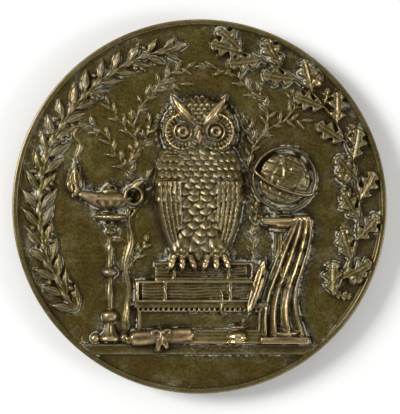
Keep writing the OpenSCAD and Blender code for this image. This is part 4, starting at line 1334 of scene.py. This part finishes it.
# Dark of the tight hollows: partly grime, partly painted shade
GRIME_AND_SHADE = (0.034, 0.020, 0.002, 1)
RESIDUE = (0.49, 0.49, 0.38, 1)
GOLD = (0.46, 0.335, 0.155, 1)
COPPER = (0.29, 0.13, 0.052, 1)
PAPER = (0.775, 0.775, 0.765, 1)


class Finish:
    """The nodes of a finish. Each tool below adds one and gives back its output."""

    def __init__(self, tree):
        self.tree = tree

    def give(self, socket, value):
        """Gives a socket a plain value, or links it to an output."""
        if isinstance(value, bpy.types.NodeSocket):
            self.tree.links.new(value, socket)
        else:
            socket.default_value = value

    def add(self, kind, inputs, **settings):
        made = self.tree.nodes.new(kind)
        for name, value in settings.items():
            setattr(made, name, value)
        for key, value in inputs.items():
            self.give(made.inputs[key], value)
        return made.outputs

    def clouds(self, place, per_mm, detail, rough=0.55, bend=0.0):
        """Cloudy values about one half, with per_mm clouds in a millimetre."""
        return self.add("ShaderNodeTexNoise", {
            "Vector": place, "Scale": per_mm, "Detail": detail, "Roughness": rough, "Distortion": bend,
        })["Fac"]

    def spread(self, value, low, high, to_low=0.0, to_high=1.0):
        """Maps value from low to high smoothly onto the second range."""
        return self.add("ShaderNodeMapRange", {
            "Value": value, "From Min": low, "From Max": high, "To Min": to_low, "To Max": to_high,
        }, interpolation_type="SMOOTHSTEP")["Result"]

    def reckon(self, operation, a, b, clamp=False):
        return self.add("ShaderNodeMath", {0: a, 1: b}, operation=operation, use_clamp=clamp)[0]

    def plus(self, a, b):
        return self.reckon("ADD", a, b)

    def less(self, a, b):
        return self.reckon("SUBTRACT", a, b)

    def times(self, first, *rest):
        for factor in rest:
            first = self.reckon("MULTIPLY", first, factor)
        return first

    def shade(self, colour, by):
        """The same colour, lighter or darker."""
        return self.add("ShaderNodeVectorMath", {0: colour, "Scale": by}, operation="SCALE")[0]

    def blend(self, share, a, b):
        """Colour that goes from a to b as share goes from 0 to 1."""
        # This node's colour sockets share their names with others, so they go by number
        return self.add("ShaderNodeMix", {0: share, 6: a, 7: b}, data_type="RGBA")[2]


def start_group(name, inputs, outputs):
    """Starts a node group whose inputs and outputs are given as name and kind of socket."""
    tree = bpy.data.node_groups.new(name, "ShaderNodeTree")
    for in_out, sockets in (("INPUT", inputs), ("OUTPUT", outputs)):
        for label, kind in sockets.items():
            tree.interface.new_socket(label, in_out=in_out, socket_type="NodeSocket" + kind)
    return Finish(tree), tree.nodes.new("NodeGroupInput").outputs, tree.nodes.new("NodeGroupOutput").inputs


def patina_group():
    """Brown patina with olive and grey clouds, greyer on raised places as wear and as painted highlight,
    and the fine skin of the casting.
    """
    finish, given, result = start_group(
        "brown_patina",
        {"Place": "Vector", "Wear_and_highlight": "Float", "Deep": "Float", "Brown": "Color", "Olive": "Color",
         "Grey": "Color", "Dull": "Color"},
        {"Color": "Color", "Roughness": "Float", "Skin": "Float"},
    )
    clouds = finish.clouds(given["Place"], 0.16, 3, bend=0.4)
    patches = finish.clouds(given["Place"], 0.27, 4, bend=0.3)
    specks = finish.clouds(given["Place"], 2.3, 4)
    olive = finish.blend(finish.spread(clouds, 0.38, 0.62), given["Brown"], given["Olive"])
    greyed = finish.reckon("ADD", finish.spread(patches, 0.44, 0.70, -0.1, 0.36), given["Wear_and_highlight"], clamp=True)
    grey = finish.blend(greyed, olive, given["Grey"])
    grey = finish.blend(finish.spread(given["Deep"], 0.05, 0.6, 0, 0.85), grey, given["Dull"])
    finish.give(result["Color"], finish.shade(grey, finish.spread(specks, 0.32, 0.68, 0.70, 1.21)))
    matt = finish.plus(finish.spread(patches, 0.35, 0.7, 0.34, 0.47),
                       finish.spread(specks, 0.3, 0.7, -0.04, 0.06))
    finish.give(result["Roughness"], matt)
    finish.give(result["Skin"], finish.plus(specks, finish.times(patches, 2.0)))
    return finish.tree


def residue_group():
    """Pale residue of old polish, in patches: lines at the feet of walls, and a veil in wide hollows."""
    finish, given, result = start_group(
        "pale_residue",
        {"Place": "Vector", "Seam": "Float", "Deep": "Float", "Height": "Float"},
        {"Mask": "Float"},
    )
    patches = finish.spread(finish.clouds(given["Place"], 0.13, 3, bend=0.5), 0.36, 0.62)
    blots = finish.clouds(given["Place"], 0.9, 4, 0.6, bend=0.5)
    grit = finish.clouds(given["Place"], 2.6, 4, 0.65)
    line = finish.times(
        finish.reckon("POWER", given["Seam"], 1.4),
        finish.spread(blots, 0.37, 0.58, 0.15, 1.0),
        finish.spread(patches, 0, 1, 0.22, 1.12),
        finish.spread(given["Height"], 0.1, 0.5, 1.08, 0.62),
    )
    veil = finish.times(
        given["Deep"],
        finish.spread(finish.plus(blots, grit), 0.94, 1.28, 0.0, 0.8),
        finish.spread(patches, 0.4, 1.0),
    )
    finish.give(result["Mask"], finish.reckon("MAXIMUM", finish.spread(line, 0.34, 0.88, 0, 0.80), veil))
    return finish.tree


def rub_group():
    """Where hands and cloths have rubbed the patina through, to gold or, at its edges, to copper."""
    finish, given, result = start_group(
        "handling_rub",
        {"Place": "Vector", "Crest": "Float", "Proud": "Float", "Height": "Float", "Gold": "Color",
         "Copper": "Color"},
        {"Mask": "Float", "Color": "Color"},
    )
    patches = finish.clouds(given["Place"], 0.15, 3, bend=0.6)
    scuffs = finish.clouds(given["Place"], 1.4, 4, 0.6)
    reached = finish.plus(finish.times(given["Crest"], 0.32), finish.times(given["Proud"], 0.66))
    reached = finish.times(reached, finish.spread(given["Height"], 0.05, 0.8, 0.45, 1.1))
    for uneven, strength in ((patches, 1.5), (scuffs, 0.5)):
        reached = finish.plus(reached, finish.times(finish.less(uneven, 0.5), strength))
    finish.give(result["Mask"], finish.spread(reached, 0.55, 1.15, 0, 0.9))
    bared = finish.spread(reached, 0.62, 1.0)
    finish.give(result["Color"], finish.blend(bared, given["Copper"], given["Gold"]))
    return finish.tree


def bronze_material():
    """Old bronze: patina darkened by grime and by painted shade in the hollows, lightened on crests as
    painted highlight, rubbed bright, with residue over all of it.
    """
    material = bpy.data.materials.new("old_bronze")
    material.use_nodes = True
    finish = Finish(material.node_tree)
    shader = material.node_tree.nodes["Principled BSDF"].inputs
    here = finish.add("ShaderNodeTexCoord", {})["Object"]
    in_mm = finish.add("ShaderNodeMapping", {"Vector": here, "Scale": (1 / MM, 1 / MM, 1 / MM)})["Vector"]
    seam, hollow, deep, crest, proud, height = (
        finish.add("ShaderNodeAttribute", {}, attribute_name=name)["Fac"] for name in MARKS
    )

    def placed(group, inputs):
        return finish.add("ShaderNodeGroup", {"Place": in_mm, **inputs}, node_tree=group)

    patina = placed(patina_group(), {
        # Crests and high places go greyer and lighter: partly wear, partly painted highlight
        "Wear_and_highlight": finish.plus(finish.times(crest, 0.5), finish.times(height, 0.35)), "Deep": deep,
        "Brown": BROWN, "Olive": OLIVE_BROWN, "Grey": GREY_BROWN, "Dull": DULL_BROWN,
    })
    residue = placed(residue_group(), {"Seam": seam, "Deep": deep, "Height": height})["Mask"]
    rub = placed(rub_group(), {
        "Crest": crest, "Proud": proud, "Height": height, "Gold": GOLD, "Copper": COPPER,
    })
    # Painted shade: the patina is darkened in wide recesses, where shade falls; painted highlight: it is
    # lightened on crests
    painted_shade_and_highlight = finish.times(finish.spread(deep, 0.1, 1.0, 1.0, 0.5), finish.spread(crest, 0.1, 1.0, 0.92, 1.25))
    # Tight hollows take the grime colour, which also serves as painted shade there
    grimed_and_shaded = finish.blend(finish.times(hollow, 0.9), finish.shade(patina["Color"], painted_shade_and_highlight), GRIME_AND_SHADE)
    rubbed = finish.blend(rub["Mask"], grimed_and_shaded, rub["Color"])
    finish.give(shader["Base Color"], finish.blend(residue, rubbed, RESIDUE))
    smooth = finish.times(patina["Roughness"], finish.spread(rub["Mask"], 0, 1, 1, 0.74))
    finish.give(shader["Roughness"], finish.plus(smooth, finish.times(residue, 0.4)))
    metal = finish.plus(0.8, finish.times(rub["Mask"], 0.2))
    finish.give(shader["Metallic"], finish.times(metal, finish.less(1.0, residue)))
    skin = finish.plus(patina["Skin"], finish.times(residue, 0.8))
    bump = finish.add("ShaderNodeBump", {"Height": skin, "Strength": 0.7, "Distance": 0.03 * MM})
    finish.give(shader["Normal"], bump["Normal"])
    gloss = finish.times(finish.spread(deep, 0.0, 0.9, 0.30, 0.08),
                         finish.spread(finish.less(crest, hollow), -0.8, 0.8, 0.3, 2.6))
    finish.give(shader["Coat Weight"], gloss)
    shader["Coat Roughness"].default_value = 0.30
    shader["Coat IOR"].default_value = 1.4
    shader["Specular IOR Level"].default_value = 0.3
    return material


medal.data.materials.append(bronze_material())


def floor():
    """Pale paper that the medal lies on."""
    form = bmesh.new()
    bmesh.ops.create_grid(form, x_segments=1, y_segments=1, size=1.5)
    made = put_in_scene("floor", mesh_of(form, "floor"))
    material = bpy.data.materials.new("pale_paper")
    material.use_nodes = True
    shader = material.node_tree.nodes["Principled BSDF"].inputs
    shader["Base Color"].default_value = PAPER
    shader["Roughness"].default_value = 0.9
    shader["Specular IOR Level"].default_value = 0.1
    made.data.materials.append(material)


floor()


def softbox(name, azimuth, elevation, width, power, distance=0.9):
    """Square area lamp that looks at the medal from a compass angle and a height angle."""
    a, e = math.radians(azimuth), math.radians(elevation)
    direction = Vector((math.cos(a) * math.cos(e), math.sin(a) * math.cos(e), math.sin(e)))
    lamp_data = bpy.data.lights.new(name, "AREA")
    lamp_data.shape = "RECTANGLE"
    lamp_data.size = width
    lamp_data.size_y = width
    lamp_data.energy = power
    made = put_in_scene(name, lamp_data)
    made.location = direction * distance
    made.rotation_euler = (-direction).to_track_quat("-Z", "Y").to_euler()


def light():
    """Soft key from the left, a weaker lamp opposite, and wide fills from top and bottom."""
    world = bpy.data.worlds.new("studio")
    bpy.context.scene.world = world
    world.use_nodes = True
    background = world.node_tree.nodes["Background"]
    background.inputs["Color"].default_value = (1, 1, 1, 1)
    background.inputs["Strength"].default_value = 0.25
    softbox("key", 160, 36, 0.34, 9.4)
    softbox("side", -12, 28, 0.30, 3.2)
    softbox("upper_fill", 75, 40, 0.8, 1.9)
    softbox("lower_fill", -70, 40, 0.8, 2.2)


light()


def camera():
    """Long lens above the medal, as high as it takes to see seen_width across at the rim."""
    lens, sensor, seen_width = 120, 36, 72.5
    data = bpy.data.cameras.new("camera")
    data.sensor_fit = "HORIZONTAL"
    data.sensor_width = sensor
    data.lens = lens
    data.clip_start = 0.01
    made = put_in_scene("camera", data)
    made.location = (0.1 * MM, -0.09 * MM, (RIM_T + seen_width * lens / sensor) * MM)
    bpy.context.scene.camera = made


camera()
bpy.context.scene.view_settings.view_transform = "Standard"
